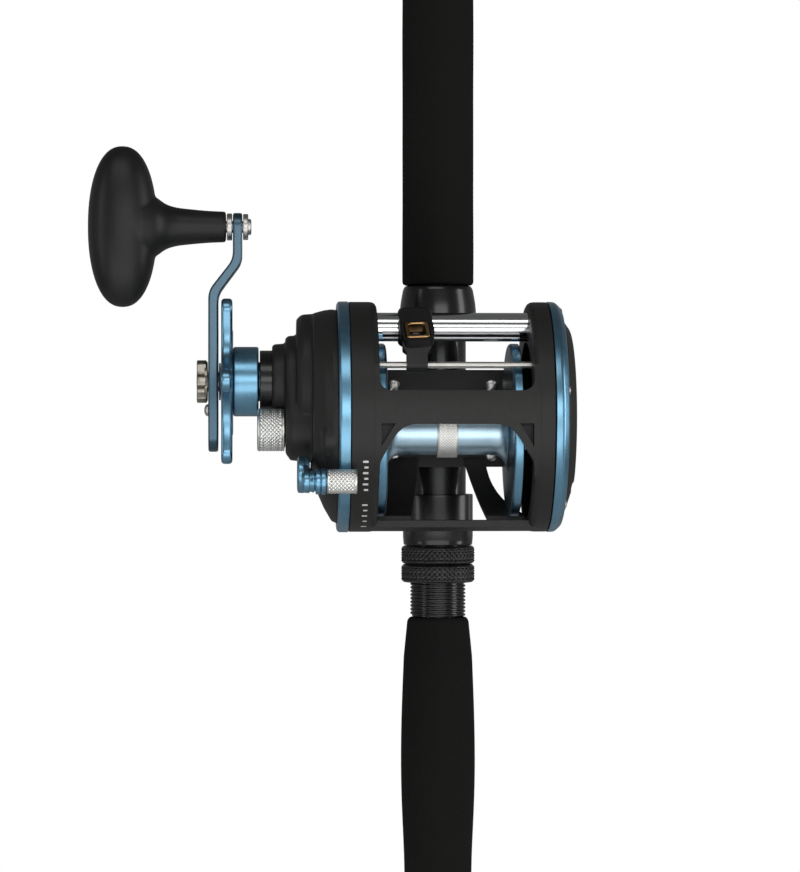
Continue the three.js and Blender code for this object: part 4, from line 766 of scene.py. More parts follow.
# %% [markdown]
# ## The rod
# The blank is a wound carbon tube that tapers to a solid tip, all under one clear coat.
# %% Blank and butt cap
low, high = span("rod_blank", 2, ROD)
seat_low, seat_high = span("reel_seat", 2, ROD)
BUTT = span("rod_blank", 0, ROD)[1]
TIP = 1.4
ROD_TOP = cad_high.z / MM


def blank_radius(height):
    share = max(0.0, height - seat_high) / (ROD_TOP - seat_high)
    return BUTT + (TIP - BUTT) * share


dress(turned("blank_wound", [
    (low, 0), (low, BUTT), (seat_high, BUTT), (high, blank_radius(high)), (high, 0),
], axis="z", origin=ROD, sides=48, corner=0.3, row=12), "rod_blank", flats=False)

cap_low, cap_high = span("butt_cap", 2, ROD)
cap = span("butt_cap", 0, ROD)[1]
ribs = []
for k in range(5):
    rib = cap_low + 5 + 3.2 * k
    ribs += [(rib, cap - 0.05), (rib + 0.3, cap - 0.7), (rib + 1.0, cap - 0.7), (rib + 1.3, cap - 0.1)]
dress(turned("butt_cap_ribbed", [
    (cap_low, 0), (cap_low, 5), (cap_low, cap - 1.6, 1.6), *ribs, (cap_high - 0.4, cap - 0.4),
    (cap_high, BUTT + 0.5), (low - 0.3, BUTT + 0.3), (low - 0.3, 0),
], axis="z", origin=ROD, corner=0.5), "butt_cap")
print("blank radius at the butt and at the tip:", BUTT, blank_radius(high))

# %% [markdown]
# The grips are foam sleeves ground to shape on the blank. The rear one is slim in the middle and swells
# under the seat, the front one is long and straight with a tapered end. A foam skin is never quite true,
# so their sides have the faintest waviness.
# %% Foam grips
grip_low, grip_high = span("rear_grip", 2, ROD)
BORE = BUTT + 0.3
side = [(0, 11.2), (1.2, 12.3), (16, 13.75), (57, 14.93), (97, 13.6), (160, 12.5), (230, 12.6), (255.7, 12.9),
        (300, 13.8), (321.7, 14.2), (325.4, 14.15), (326, 13.6)]
depths, radii = zip(*side)


def swell(x):
    """A smooth line through the grip's radii."""
    t = np.interp(x, depths, range(len(depths)))
    i = min(int(t), len(radii) - 2)
    a, b, c, d = (radii[max(0, min(len(radii) - 1, n))] for n in (i - 1, i, i + 1, i + 2))
    f = t - i
    slope_b = (c - b) if i in (0, 1) else (c - a) / 2
    slope_c = (c - b) if i >= len(radii) - 3 else (d - b) / 2
    from_b = b * (1 + 2 * f) * (1 - f) ** 2 + slope_b * f * (1 - f) ** 2
    return from_b + c * f * f * (3 - 2 * f) + slope_c * f * f * (f - 1)


def foam_wave(x, angle, r):
    if r < BORE + 1:
        return 0.0
    return 0.06 * math.sin(x / 9.0 + 2 * math.sin(angle)) * math.cos(2 * angle + x / 31.0) - 0.05


smooth_side = [(grip_high - x, swell(x)) for x in np.linspace(1.5, 322, 90)]
rear = turned("rear_grip_foam", [
    (grip_high, BORE), (grip_high, 11.4, 1.0), *smooth_side, (grip_low, 13.9, 1.0), (grip_low, BORE),
], axis="z", origin=ROD, corner=0.6, wobble=foam_wave)
dress(rear, "rear_grip", flats=False)

fore_low, fore_high = span("foregrip", 2, ROD)
FORE = span("foregrip", 0, ROD)[1]
FORE_END = 11.2
fore = turned("foregrip_foam", [
    (fore_low, BORE), (fore_low, FORE, 1.6), (fore_high - 40, FORE, 20), (fore_high - 14, 13.3, 8),
    (fore_high - 1.5, FORE_END, 1.2), (fore_high, FORE_END - 1.6, 0.8),
    (fore_high, blank_radius(fore_high) + 0.4),
], axis="z", origin=ROD, corner=0.6, row=4, wobble=foam_wave)
dress(fore, "foregrip", flats=False)

check_low, check_high = span("winding_check", 2, ROD)
near, far = blank_radius(check_low), blank_radius(check_high)
dress(turned("winding_check_turned", [
    (check_low, near + 0.3), (check_low, 9.3), (check_low + 2.4, 9.3, 0.5), (check_low + 2.9, 8.7, 0.2),
    (check_low + 3.4, 8.9, 0.4), (check_high, far + 0.8, 0.3), (check_high, far + 0.2),
], axis="z", origin=ROD, corner=0.4), "winding_check")
print("grip lengths:", round(grip_high - grip_low), round(fore_high - fore_low))

# %% [markdown]
# ## The reel seat
# The seat is a smooth glossy tube with a fixed hood at its top, which is drawn as one turned profile and
# then opened for the tongue of the reel's foot. Its lower end carries the thread for the two nuts.
# %% Seat, fixed hood and thread
SEAT = 11.2
MOUTH = 41.0
TONGUE_ROOM = 13.8


def about_rod(name, low, high, radius, sides=96):
    profile = [(low, 0), (low, radius), (high, radius), (high, 0)]
    return turned(name, profile, (0, -REEL.y), "z", sides=sides, corner=0)


def tongue_room(low, high):
    inside = box_of("room", (-TONGUE_ROOM / 2, TONGUE_ROOM / 2), (-REEL.y - 16.5, -REEL.y - 5), (low, high))
    return common(inside, about_rod("crown", low - 1, high + 1, 14.0))


thread_low, thread_high = seat_low - REEL.z, span("sliding_hood", 2)[0] - 1.0
seat = turned("seat_turned", [
    (thread_low, BORE), (thread_low, SEAT - 0.8), (thread_high - 0.6, SEAT - 0.8), (thread_high, SEAT),
    (-25.6, SEAT), (MOUTH, SEAT), (MOUTH, 15.5, 0.7), (MOUTH + 9, 15.15, 4), (56.4, 13.95, 1.0),
    (57.7, 13.1, 0.6), (57.7, BORE),
], (0, -REEL.y), "z", corner=0.3, sides=128)
pocket = tongue_room(MOUTH - 1, 51.5)
cut(pocket, about_rod("tube", MOUTH - 2, 53, SEAT))
cut(seat, pocket)
dress(seat, "reel_seat")
PITCH = 1.45
thread_turns = (thread_high - thread_low - 1.2) / PITCH
wound("seat_thread", "reel_seat", "gloss_black", **{
    "Turns": thread_turns, "Steps": 48, "Start Radius": (SEAT - 0.62) * MM, "End Radius": (SEAT - 0.62) * MM,
    "Height": thread_turns * PITCH * MM, "Section": 0.52 * MM, "Section Sides": 8,
    "Base": (0, 0, (REEL.z + thread_low + 0.6) * MM),
})
print("thread turns:", round(thread_turns, 1))

# %% [markdown]
# The sliding hood is a ring with an arch over the foot's tongue. Spinning the profile with a radius that
# swells on the reel's side gives the arch its soft shoulders, and a cutter opens the mouth.
# %% Sliding hood
hood_low, hood_high = span("sliding_hood", 2)


def hood_arch(x, angle, r):
    facing = max(0.0, -math.sin(angle))
    width = max(0.0, min(1.0, (facing - 0.42) / 0.3))
    rise = width * width * (3 - 2 * width)
    run = max(0.0, min(1.0, (x - hood_low - 2.0) / 6.0))
    return 1.45 * rise * run if r > 13 else 0.0


hood = turned("sliding_hood_moulded", [
    (hood_low, SEAT + 0.3), (hood_low, 13.7, 0.6), (hood_low + 3.2, 14.0, 1), (hood_high, 14.0, 0.5),
    (hood_high, SEAT + 0.3),
], (0, -REEL.y), "z", corner=0.4, sides=160, row=0.8, wobble=hood_arch)
cut(hood, tongue_room(-38, hood_high + 1))
dress(hood, "sliding_hood", smooth=40)

# %% [markdown]
# The lock nut and jam nut are knurled in wide diamonds and chamfered at both ends, so a V-groove shows
# where they meet.
# %% Knurled nuts
for node in ("lock_nut", "jam_nut"):
    low, high = span(node, 2)
    OUTER = 14.8
    nut = turned(node + "_knurled", [
        (low, SEAT + 0.3), (low, OUTER - 1.1, 0.2), (low + 1.0, OUTER, 0.3), (high - 1.0, OUTER, 0.3),
        (high, OUTER - 1.1, 0.2), (high, SEAT + 0.3),
    ], (0, -REEL.y), "z", sides=352, corner=0.2, row=0.3)
    grow(nut, knurling, {
        "Around": 44.0, "Rows per Metre": 480.0, "Depth": 0.75 * MM, "Low": (low + 0.7) * MM,
        "High": (high - 0.7) * MM, "Fade": 0.5 * MM,
    }, "knurled_black")
    dress(nut, node, smooth=50, flats=False)
print("nut faces:", len(nut.data.polygons))

# %% [markdown]
# ## The reel's frame
# The frame is one moulding: two round end plates, a thumb bar across the front, a floor, a rear bar and
# curved braces. The bars are cut out of one round shell by their outlines, so that they follow the
# plates' curve.
# %% Outlines for the frame
frame_low, frame_high = span("reel_frame")
LEFT, RIGHT = -27.0, 30.3
BAR_TOP, BAR_LOW = 14.6, 2.1
RIM = 43.85
BAR = 5.0


def arc(centre, radius, start, end, count=12):
    angles = [start + (end - start) * k / count for k in range(count + 1)]
    return [(centre[0] + radius * math.cos(a), centre[1] + radius * math.sin(a)) for a in angles]


def curve(a, through, b, count=8):
    """A bend from a to b drawn towards a third point, on a flat outline or in space."""

    def at(t):
        return tuple(p * (1 - t) ** 2 + 2 * q * t * (1 - t) + r * t * t for p, q, r in zip(a, through, b))

    return [at(k / count) for k in range(count + 1)]


def round_shell(name):
    profile = [(LEFT - 3, RIM - BAR), (LEFT - 3, RIM), (RIGHT + 3, RIM), (RIGHT + 3, RIM - BAR)]
    return turned(name, profile, PLATE, sides=160, corner=0)


front_outline = [
    (LEFT - 2, 24.4), (LEFT, 24.4), (LEFT, BAR_TOP, 8), (RIGHT, BAR_TOP, 8), (RIGHT, 24.4), (RIGHT + 2, 24.4),
    (RIGHT + 2, -20), (RIGHT, -17, 1), (RIGHT, -12, 2), (21.8, BAR_LOW, 6), (-19.0, BAR_LOW, 6), (LEFT, -12, 2),
    (LEFT, -17, 1), (LEFT - 2, -20),
]
front = common(round_shell("frame_front"), slab("front", front_outline, -46, -10, "y", corner=0.01, steps=6))


def rear_brace(side, edge, outside, inside):
    root = (side * 9, -11.5)
    outer = curve((side * outside, -11.5), (side * (outside + 0.8), -26), (edge, -32.8))
    inner = curve((side * (inside + 5), -39.5), (side * inside, -28), root)[:-1]
    outline = [root, *outer, (edge, -39.5), *inner]
    return common(round_shell("brace"), slab("brace_outline", outline, 8, 46, "y"))


# %% [markdown]
# The plates, bars and braces are joined first and bored afterwards, as the moulding tool would do it, and
# the edges are rounded last so that each one is rounded once.
# %% Join, bore and round the frame
head = turned("head", [(frame_low, 0), (frame_low, RIM, 0.6), (LEFT, RIM, 2.8), (LEFT, 0)], PLATE, sides=160)
RING_LAP = 0.9
tail_face = frame_high - RING_LAP
tail = turned("tail", [(RIGHT, 0), (RIGHT, RIM, 2.8), (tail_face, RIM, 0.6), (tail_face, 0)], PLATE, sides=160)
floor_bar = box_of("floor_bar", (LEFT - 2, RIGHT + 2), (37.5, 41.5), (-14.5, 23.8))
rear_bar = common(
    turned("round", [(LEFT - 3, 0), (LEFT - 3, RIM - 0.1), (RIGHT + 3, RIM - 0.1), (RIGHT + 3, 0)], PLATE,
           sides=160, corner=0),
    box_of("rear_bar", (LEFT - 2, RIGHT + 2), (-13, -4), (-39, -34.2)),
)
braces = [rear_brace(-1, LEFT - 1, 21, 10.5), rear_brace(1, RIGHT + 1, 17.4, 13.6)]
body = join(front, head, tail, *braces, rear_bar, floor_bar)
body.name = "frame_moulding"


def bore(low, high, radius, at=CENTRE, sides=96):
    return turned("bore", [(low, 0), (low, radius), (high, radius), (high, 0)], at, sides=sides, corner=0)


pockets = [
    slab("pocket", [(edge, 2.4), (edge + side * 5.2, 2.4), (edge, -6.2)], -RIM - 2, -RIM + 4.4, "y", corner=0.4)
    for edge, side in ((LEFT + 0.5, 1), (RIGHT - 0.5, -1))
]
SPOOL_ROOM = 33.6
cut(body, bore(frame_low - 1, LEFT + 0.5, SPOOL_ROOM, sides=160),
    bore(RIGHT - 0.5, frame_high + 1, SPOOL_ROOM, sides=160),
    bore(LEFT - 3.4, RIGHT + 2.4, 5.75, WORM), bore(frame_low - 1, frame_high - 2, 2.6, WORM, 48),
    bore(LEFT - 3, RIGHT + 3, 1.55, GUIDE_ROD, 32), *pockets)
soften(body, 0.45, 3, 38)
dress(body, "reel_frame", smooth=40)
print("frame faces:", len(body.data.polygons))

# %% [markdown]
# The foot is glossy, with a block under the frame's floor and two tongues that reach under the hoods. Two
# screws hold the frame down on it.
# %% Foot and its screws
foot_low, foot_high = 41.8, 49.8
outline = [(-8.5, -14.5), (-6.5, -23.5), (-6.5, -37, 1.5), (6.5, -37, 1.5), (6.5, -23.5), (8.5, -14.5),
           (8.5, 23.8), (6.5, 35), (6.5, 50.5, 1.5), (-6.5, 50.5, 1.5), (-6.5, 35), (-8.5, 23.8)]
strip = common(slab("foot_cast", outline, foot_low, foot_high, "y", corner=0.01),
               about_rod("crown", -38, 52, 13.7))
foot = join(strip, box_of("block", (-9.6, 9.6), (foot_low, foot_high), (-14.5, 23.8)))
cut(foot, about_rod("tube", -40, 55, SEAT + 0.3))
soften(foot, 0.5, 3)
dress(foot, "reel_foot", smooth=40)
on_floor = [(x, 37.5, z) for z in (17.3, -9.5) for x in (-18.6, 20.0)]
screw_set("floor_screws", "reel_frame", on_floor, 2.7, 1.5, (0, -1, 0), slot_turn=0.9)

# %% [markdown]
# ## Trim rings and covers
# Both blue rings are turned and polished at the corners. The cover on the handle side is a soft stepped
# dome: its steps are drawn as tight skins over circles, fused into one skin, and smoothed until the steps
# melt into each other.
# %% Trim rings
dress(turned("head_ring_turned", [
    (-37.75, 40.9), (-37.75, 44.0, 0.25), (-41.4, 44.0, 0.9), (-42.1, 43.1, 0.4), (-42.1, 41.2), (-41.5, 40.9),
], PLATE, sides=192, corner=0.2), "head_trim_ring")
dress(turned("tail_ring_turned", [
    (38.2, 38.0), (38.2, 44.0, 0.25), (40.9, 43.9, 0.9), (43.2, 41.7, 0.7), (43.2, 38.0),
], PLATE, sides=192, corner=0.2), "tail_trim_ring")

# %% Handle-side cover
cover_high = span("head_side_plate")[1]


def gear_ring(x, r):
    return (x, *GEAR, r)


def melt(piece, voxel, rounds):
    """Fuses a piece into one even skin and smooths it."""
    piece.data.remesh_voxel_size = voxel * MM
    skin = piece.modifiers.new("skin", "REMESH")
    skin.mode, skin.voxel_size, skin.adaptivity = "VOXEL", voxel * MM, 0.0
    ease = piece.modifiers.new("ease", "SMOOTH")
    ease.factor, ease.iterations = 0.5, rounds
    return settle(piece)


skirt = turned("skirt", [(-58.3, 0), (-58.3, 40.1), (cover_high, 40.1), (cover_high, 0)], PLATE, sides=160,
               corner=0)
dome = hull("dome", [gear_ring(-43.8, 27.5), gear_ring(-55.2, 26.1), gear_ring(-57.3, 23.9)], 128)
dome = common(dome, skirt)
base = hull("cover_moulding", [
    (cover_high, 0, 5, 40.7), (-44.0, 0, 5.6, 40.4), (-47, 0, 8, 37.6), (-51.3, 0, 12.4, 32),
], 128)
terrace = hull("terrace", [
    gear_ring(-50, 18.4), gear_ring(-60.4, 17.6), gear_ring(-61.5, 16.6),
    (-50, 0, 0, 12.6), (-59.6, 0, 0, 11.6), (-61.5, 0, 0, 8.9),
], 96)
swell_low = hull("swell_low", [(-48.4, -34, -4, 3.6), (-47.2, -34, -4, 5.8), (-42.6, -34, -4, 5.4)], 64)
screw_boss = hull("screw_boss", [(-47.6, -8, 41.3, 2.2), (-43, -8, 41.3, 2.9)], 48)
boss = turned("boss", [(-60, 0), (-60, 14.8), (-65.8, 14.4), (-66.6, 13.6), (-66.6, 0)], GEAR, corner=0.3)
lever_boss = bore(-52.3, -44, 5.6, LEVER)
cover = join(base, dome, terrace, boss, lever_boss, swell_low, screw_boss)
cut(cover, turned("cap_room", [(-80, 0), (-80, 8.6), (-61.5, 8.6), (-61.5, 0)], corner=0))
melt(cover, 0.5, 5)
inside = join(
    hull("inside", [(cover_high + 1, 0, 5, 38.4), (-46.6, 0, 8, 35.3), (-49, 0, 12.4, 29.1)], 96),
    common(bore(-55.0, cover_high + 0.9, 24.2, GEAR), bore(-56, cover_high + 2, 38.2, PLATE)),
    bore(-59.8, -45, 9.9), bore(-71.0, -54, 7.9, GEAR), bore(-67, -58, 2.6), bore(-53, -44, 2.9, LEVER),
)
cut(cover, inside)
dress(cover, "head_side_plate", smooth=50, flats=False)
trim(turned("shaft_collar", [
    (-66.5, 8.0), (-66.5, 12.0), (-71.3, 12.0, 0.5), (-71.3, 8.0),
], GEAR, corner=0.2), "head_side_plate", "gloss_black")
trim(turned("cast_control_neck", [(-61.6, 2.7), (-61.6, 6.7), (-66.0, 6.7), (-66.0, 2.7)], corner=0.3),
     "head_side_plate", "gloss_black")
screw_set("cover_screw", "head_side_plate", [(-47.5, -8, 41.3)], 1.5, 0.7, (-1, 0, 0))
print("cover faces:", len(cover.data.polygons))

# %% [markdown]
# The far cover is a shallow dish with a raised rim. It is turned as a shell, outside and inside in one
# profile.
# %% Far-side cover
dish = turned("tail_cover_turned", [
    (46.5, 0), (46.4, 14.0, 4), (46.2, 20.5, 2), (45.8, 21.5, 1), (46.2, 22.8, 1), (46.8, 29, 2),
    (46.8, 33.3, 1.2),
    (43.8, 37.5, 0.8), (39.2, 37.5, 0.3), (39.2, 35.4), (43.4, 33.0), (44.4, 25.5), (44.4, 0),
], PLATE, sides=160, corner=0.3)
scoop = slab("scoop", [(48, -19), (45.9, -22.5, 2), (44.9, -27, 4), (43.8, -36, 1), (48, -43)], -60, 60, "y",
             corner=0.2)
CLICK = (-18.0, -17.5)
click_slot = box_of("slot", (41, 48), (CLICK[0] - 5, CLICK[0] + 5), (CLICK[1] - 1.6, CLICK[1] + 1.6))
cut(dish, scoop, bore(45.4, 48, 6.2, CLICK, 64), click_slot)
hub = turned("tail_hub", [
    (45.0, 0), (45.0, 9.8), (33.0, 9.8), (33.0, 7.8), (38.2, 7.8), (38.2, 3.6), (43, 3.6), (43, 0),
], corner=0.2)
join(dish, hub)
dress(dish, "tail_side_plate", smooth=40)
dress(turned("clicker_knob", [
    (41.4, 0), (41.4, 1.0), (45.6, 1.0), (45.7, 2.4, 0.2), (46.8, 2.4, 0.5), (46.8, 0),
], (CLICK[0] - 2.4, CLICK[1]), corner=0.2, sides=48), "clicker_button")
ring_of_screws = [(43.0, 40.0 * math.cos(a) + PLATE[0], 40.0 * math.sin(a) + PLATE[1])
                  for a in (0.5, 1.7, 2.9, 4.1, 5.3)]
screw_set("tail_ring_screws", "tail_trim_ring", ring_of_screws, 1.7, 0.9, (1, 0, 0))

# %% [markdown]
# ## Spool
# The spool is turned from one bar of aluminium and dyed blue. A knurled band at its middle stops the line
# slipping.
# %% Spool and its band
half = [
    (27.3, 3.2), (27.3, 7.0, 0.4), (25.3, 8.0, 0.6), (25.3, 30.8, 0.8), (27.2, 31.4, 0.3), (27.2, 33.0, 0.5),
    (24.2, 33.0, 0.5), (23.5, 32.2, 0.4), (23.3, 15.5, 2), (22.3, 12.0, 1.5), (20.3, 10.1, 1.5),
    (17.5, 9.5, 1.5),
]
other_half = [(-x, *rest) for x, *rest in reversed(half)]
spool = dress(turned("spool_turned", half + other_half, sides=192, corner=0.3), "spool")
spool.data.materials.append(finishes["blue_pale_painted_reflection"])
spool.data.materials.append(finishes["blue_dark_and_painted_shade"])
# The arbor's faces take the pale blue as painted reflection, and the inner faces between the flanges take the dark
# blue as painted shade.
for face in spool.data.polygons:
    place = face.center / MM - REEL
    out = math.hypot(place.y, place.z)
    if abs(place.x) < 23.6 and out < 31.5:
        face.material_index = 1 if out < 13 else 2
band = turned("arbor_band_knurled", [(-3.9, 9.8), (-3.9, 10.6, 0.2), (3.9, 10.6, 0.2), (3.9, 9.8)],
              sides=336, corner=0.1, row=0.22)
grow(band, knurling, {"Around": 56.0, "Rows per Metre": 850.0, "Depth": 0.32 * MM, "Low": -3.7 * MM,
                      "High": 3.7 * MM, "Fade": 0.3 * MM}, "knurled_silver")
dress(band, "arbor_band", smooth=50, flats=False)

# %% [markdown]
# ## Level wind
# A chromed tube hides the crossed screw that drives the line guide from side to side. A slot along its
# back lets the pawl reach the screw, and a thin steel rod keeps the guide upright.
# %% Tube, guide rod and shaft
TUBE = 5.45
tube_low, tube_high = span("level_wind_tube")
tube_bore = TUBE - 0.85
tube = turned("tube_chromed", [
    (tube_low, tube_bore), (tube_low, TUBE), (tube_high, TUBE), (tube_high, tube_bore),
], WORM, corner=0.1, sides=128)
aim = math.atan2(-WORM[0], WORM[1])
slot = box_of("slot", (-25, 27), (-1.7, 1.7), (-TUBE - 1, 0), ROD)
slot.data.transform(Matrix.Translation((REEL + Vector((0, *WORM))) * MM) @ Matrix.Rotation(-aim - 0.75, 4, "X"))
cut(tube, slot)
dress(tube, "level_wind_tube")
rod_low, rod_high = span("guide_rod")
dress(turned("guide_rod_ground", [(rod_low, 0), (rod_low, 1.25), (rod_high, 1.25), (rod_high, 0)], GUIDE_ROD,
             corner=0.2, sides=48), "guide_rod")

# %% Line guide
SPOT = -12.6
HALF = 6.5
EYE = (-21.5, 36.9)
EYE_DROP = 2.4
TILT = math.radians(40)
LEAN = math.radians(4)
PAWL_AIM = math.atan2(-0.57, -0.82)


def tilted(piece):
    """Stands a piece drawn flat at the rod's origin in the place of the guide's eye."""
    place = Matrix.Translation((REEL + Vector((SPOT, *EYE))) * MM)
    piece.data.transform(place @ Matrix.Rotation(TILT, 4, "X") @ Matrix.Rotation(LEAN, 4, "Z"))
    return piece


def along_pawl(name, profile, sides=64, corner=0.3):
    piece = turned(name, profile, axis="z", origin=ROD, sides=sides, corner=corner)
    place = Matrix.Translation((REEL + Vector((SPOT, *WORM))) * MM)
    piece.data.transform(place @ Matrix.Rotation(PAWL_AIM, 4, "X") @ Matrix.Rotation(-math.pi / 2, 4, "X"))
    return piece


def eye_outline(across, along, corner):
    low_edge, high_edge = -EYE_DROP - along, -EYE_DROP + along
    corners = ((-across, low_edge), (across, low_edge), (across, high_edge), (-across, high_edge))
    return [(*place, corner) for place in corners]


eye_block = tilted(slab("eye_block", [
    (-5.0, -9, 2), (5.0, -9, 2), (HALF, -4, 4), (5.9, 10.4, 2.5), (-5.9, 10.4, 2.5), (-HALF, -4, 4),
], -1.2, 2.8, "z", ROD))
sleeve = turned("guide_sleeve", [
    (SPOT - HALF, 0), (SPOT - HALF, 7.55), (SPOT + HALF, 7.55), (SPOT + HALF, 0),
], WORM, corner=2.6)
arm = hull("guide_arm", [(SPOT - 3.9, -25.6, 33.2, 1.9), (SPOT + 3.9, -25.6, 33.2, 1.9),
                         (SPOT - 3.9, *GUIDE_ROD, 3.1), (SPOT + 3.9, *GUIDE_ROD, 3.1)], 48)
nose = hull("guide_nose", [(SPOT - 5.4, -25.0, 31.6, 2.6), (SPOT + 5.4, -25.0, 31.6, 2.6),
                           (SPOT - 4.2, -26.4, 29.6, 1.6), (SPOT + 4.2, -26.4, 29.6, 1.6)], 48)
guide_body = join(sleeve, eye_block, along_pawl("housing", [(2, 0), (2, 5.6), (9.3, 5.6), (9.3, 0)]), arm, nose)
window = tilted(slab("window", eye_outline(4.8, 5.1, 1.6), -3, 8, "z", ROD))
cut(guide_body, bore(SPOT - 8, SPOT + 8, TUBE + 0.4, WORM), bore(SPOT - 8, SPOT + 8, 1.65, GUIDE_ROD, 32),
    window)
guide_body.name = "line_guide_moulding"
soften(guide_body, 0.4, 3, 40)
dress(guide_body, "line_guide", "soft_black", smooth=42)
insert = slab("line_guide_eye", eye_outline(4.5, 4.8, 1.6), -1.3, 3.2, "z", ROD, steps=6)
cut(insert, slab("hole", eye_outline(3.1, 3.4, 1.3), -6, 6, "z", ROD, steps=6))
dress(tilted(soften(insert, 0.6, 4, 50)), "line_guide_insert", smooth=50)
cap = along_pawl("pawl_cap_turned", [(9.6, 0), (9.6, 5.0), (10.8, 4.9, 0.6), (11.7, 3.6, 0.8), (11.8, 0)])
dress(cap, "pawl_cap")
print("line guide faces:", len(guide_body.data.polygons))

# %% [markdown]
# ## Handle
# The star wheel is cut from plate with five rounded arms, and fused to a turned hub. The handle arm is a
# flat bar with a jog, tapered towards the knob: its side view cut by its front view gives both at once.
# %% Star drag
STAR = 33.0
ARM_TIP = 4.4
star_outline = []
for k in range(5):
    angle = math.pi + TURN * k / 5
    following = angle + TURN / 5
    tip = ((STAR - ARM_TIP) * math.cos(angle) + GEAR[0], (STAR - ARM_TIP) * math.sin(angle) + GEAR[1])
    onward = (
        (STAR - ARM_TIP) * math.cos(following) + GEAR[0],
        (STAR - ARM_TIP) * math.sin(following) + GEAR[1],
    )
    sweep = arc(tip, ARM_TIP, angle - math.pi / 2, angle + math.pi / 2)
    valley = tuple(GEAR[n] + 8 * (math.cos, math.sin)[n](angle + TURN / 10) for n in (0, 1))
    square = following - math.pi / 2
    start = (onward[0] + ARM_TIP * math.cos(square), onward[1] + ARM_TIP * math.sin(square))
    star_outline += sweep + curve(sweep[-1], valley, start, 16)[1:-1]
star = slab("star_wheel", star_outline, -86, -81.7)
soften(star, 1.3, 4, 50)
star_hub = turned("star_hub", [
    (-85.6, 0), (-85.6, 9.0, 0.6), (-81.7, 9.0), (-81.5, 13.4, 1.0), (-71.7, 13.4, 0.9), (-71.7, 7.5),
    (-53.3, 7.5), (-53.3, 0),
], GEAR, corner=0.3, sides=128)
join(star, star_hub)
cut(star, bore(-88, -50, 5.4, GEAR))
dress(star, "star_drag", smooth=40)
dress(turned("star_spacer_turned", [(-86.9, 5.3), (-86.9, 7.2), (-86.3, 7.2), (-86.3, 5.3)], GEAR, corner=0.2),
      "star_spacer")

# %% Handle arm
INNER, OUTER = -87.2, -91.0
JOG = 9.2
THROW = KNOB[1] - GEAR[1]
side_view = [(OUTER, -30), (INNER, -30), (INNER, 33.3, 3), (INNER + JOG, 45.6, 3), (INNER + JOG, 68),
             (INNER + JOG - 3.6, 68), (INNER + JOG - 3.6, 46.8, 3), (OUTER, 34.7, 3)]
front_view = arc((0, -20.5), 6.5, math.pi, TURN, 16) + curve((6.5, -20.5), (9.6, 0), (7.6, 16))[1:]
front_view += arc((0, THROW), 5.4, 0, math.pi, 20) + curve((-7.6, 16), (-9.6, 0), (-6.5, -20.5))[:-1]
shift = Vector((0, *GEAR))
side_slab = slab("handle_arm_milled", side_view, -10, 10, "y", REEL + shift, corner=0.01, steps=6)
handle = common(side_slab, slab("front_view", front_view, OUTER - 1, INNER + JOG + 1, "x", REEL + shift))
cut(handle, bore(OUTER - 2, INNER + 2, 4.1, GEAR, 48), bore(OUTER - 2, INNER + JOG + 2, 2.6, KNOB, 48))
soften(handle, 0.75, 3, 40)
dress(handle, "handle_arm", "blue_dark_and_painted_shade", smooth=42)

# %% Handle nut, lock screw, pin and bushing
lobes = []
for k in range(6):
    a, b = TURN * k / 6, TURN * (k + 1) / 6
    m = (a + b) / 2
    lobes += [(8.7 * math.cos(a + d), 8.7 * math.sin(a + d)) for d in (-0.2, -0.1, 0.0, 0.1, 0.2)]
    lobes.append((5.4 * math.cos(m), 5.4 * math.sin(m), 2.2))
nut = slab("handle_nut_lobed", lobes, -95.4, -91.6, "x", REEL + shift, corner=0.5, steps=8)
soften(nut, 0.45, 3, 30)
join(nut, turned("flange", [(-91.3, 0), (-91.3, 7.6), (-92.4, 7.6), (-92.4, 0)], GEAR, corner=0.2))
cut(nut, bore(-94.3, -90, 4.1, GEAR, 48), bore(-96.5, -94.8, 3.4, GEAR, 48))
dress(nut, "handle_nut", "nut_steel", smooth=40)
screw_set("handle_lock_screw", "handle_arm", [(OUTER, GEAR[0] - 2.0, GEAR[1] - 11.0)], 2.3, 1.6, (-1, 0, 0))
dress(turned("knob_pin_turned", [
    (-74.5, 0), (-74.5, 2.6, 0.3), (-74.9, 3.1, 0.2), (-75.7, 3.1), (-75.7, 5.0, 0.5), (-77.7, 5.0, 0.3),
    (-77.7, 2.3), (-118, 2.3), (-118, 0),
], KNOB, corner=0.1), "knob_pin")
dress(turned("knob_bushing_turned", [
    (-83.9, 2.6), (-83.9, 5.2), (-81.9, 5.2), (-81.9, 2.6),
], KNOB, corner=0.35), "knob_bushing")

# %% [markdown]
# The knob is a T-bar to be gripped by two fingers. An oval bulb and a flared stem are fused into one even
# skin and smoothed, so that the stem grows out of the bulb as it does in a moulded knob.
# %% T-bar knob
knob_low, knob_high = span("handle_knob")
BULB = (knob_low - 110.7) / 2
bulb_mesh = bpy.data.meshes.new("knob_moulded")
ball = bmesh.new()
bmesh.ops.create_uvsphere(ball, u_segments=96, v_segments=64, radius=1.0)
for vertex in ball.verts:
    x, y, z = vertex.co
    fuller = (abs(x) ** 2.3 + abs(y) ** 2.3 + abs(z) ** 2.15) ** (-1 / 2.2)
    swollen = Vector((BULB - knob_low, 0, 0)) * x + Vector((0, 13.5, 0)) * y + Vector((0, 0, 30.9)) * z
    vertex.co = swollen * fuller * MM
    vertex.co += (REEL + Vector((BULB, *KNOB))) * MM
ball.to_mesh(bulb_mesh)
ball.free()
knob = bpy.data.objects.new("knob_moulded", bulb_mesh)
scene.collection.objects.link(knob)
stem = turned("stem", [
    (knob_high, 0), (knob_high, 5.9, 0.6), (-92, 6.2, 6), (-103, 7.3, 6), (-107.5, 8.6, 4), (-111, 11.5, 2),
    (-116, 13.0), (-122, 13.0), (-122, 0),
], KNOB, corner=0.3)
join(knob, stem)
melt(knob, 0.6, 6)
cut(knob, bore(-118.6, knob_high + 1, 2.7, KNOB, 48))
dress(knob, "handle_knob", smooth=50, flats=False)
print("knob faces:", len(knob.data.polygons))

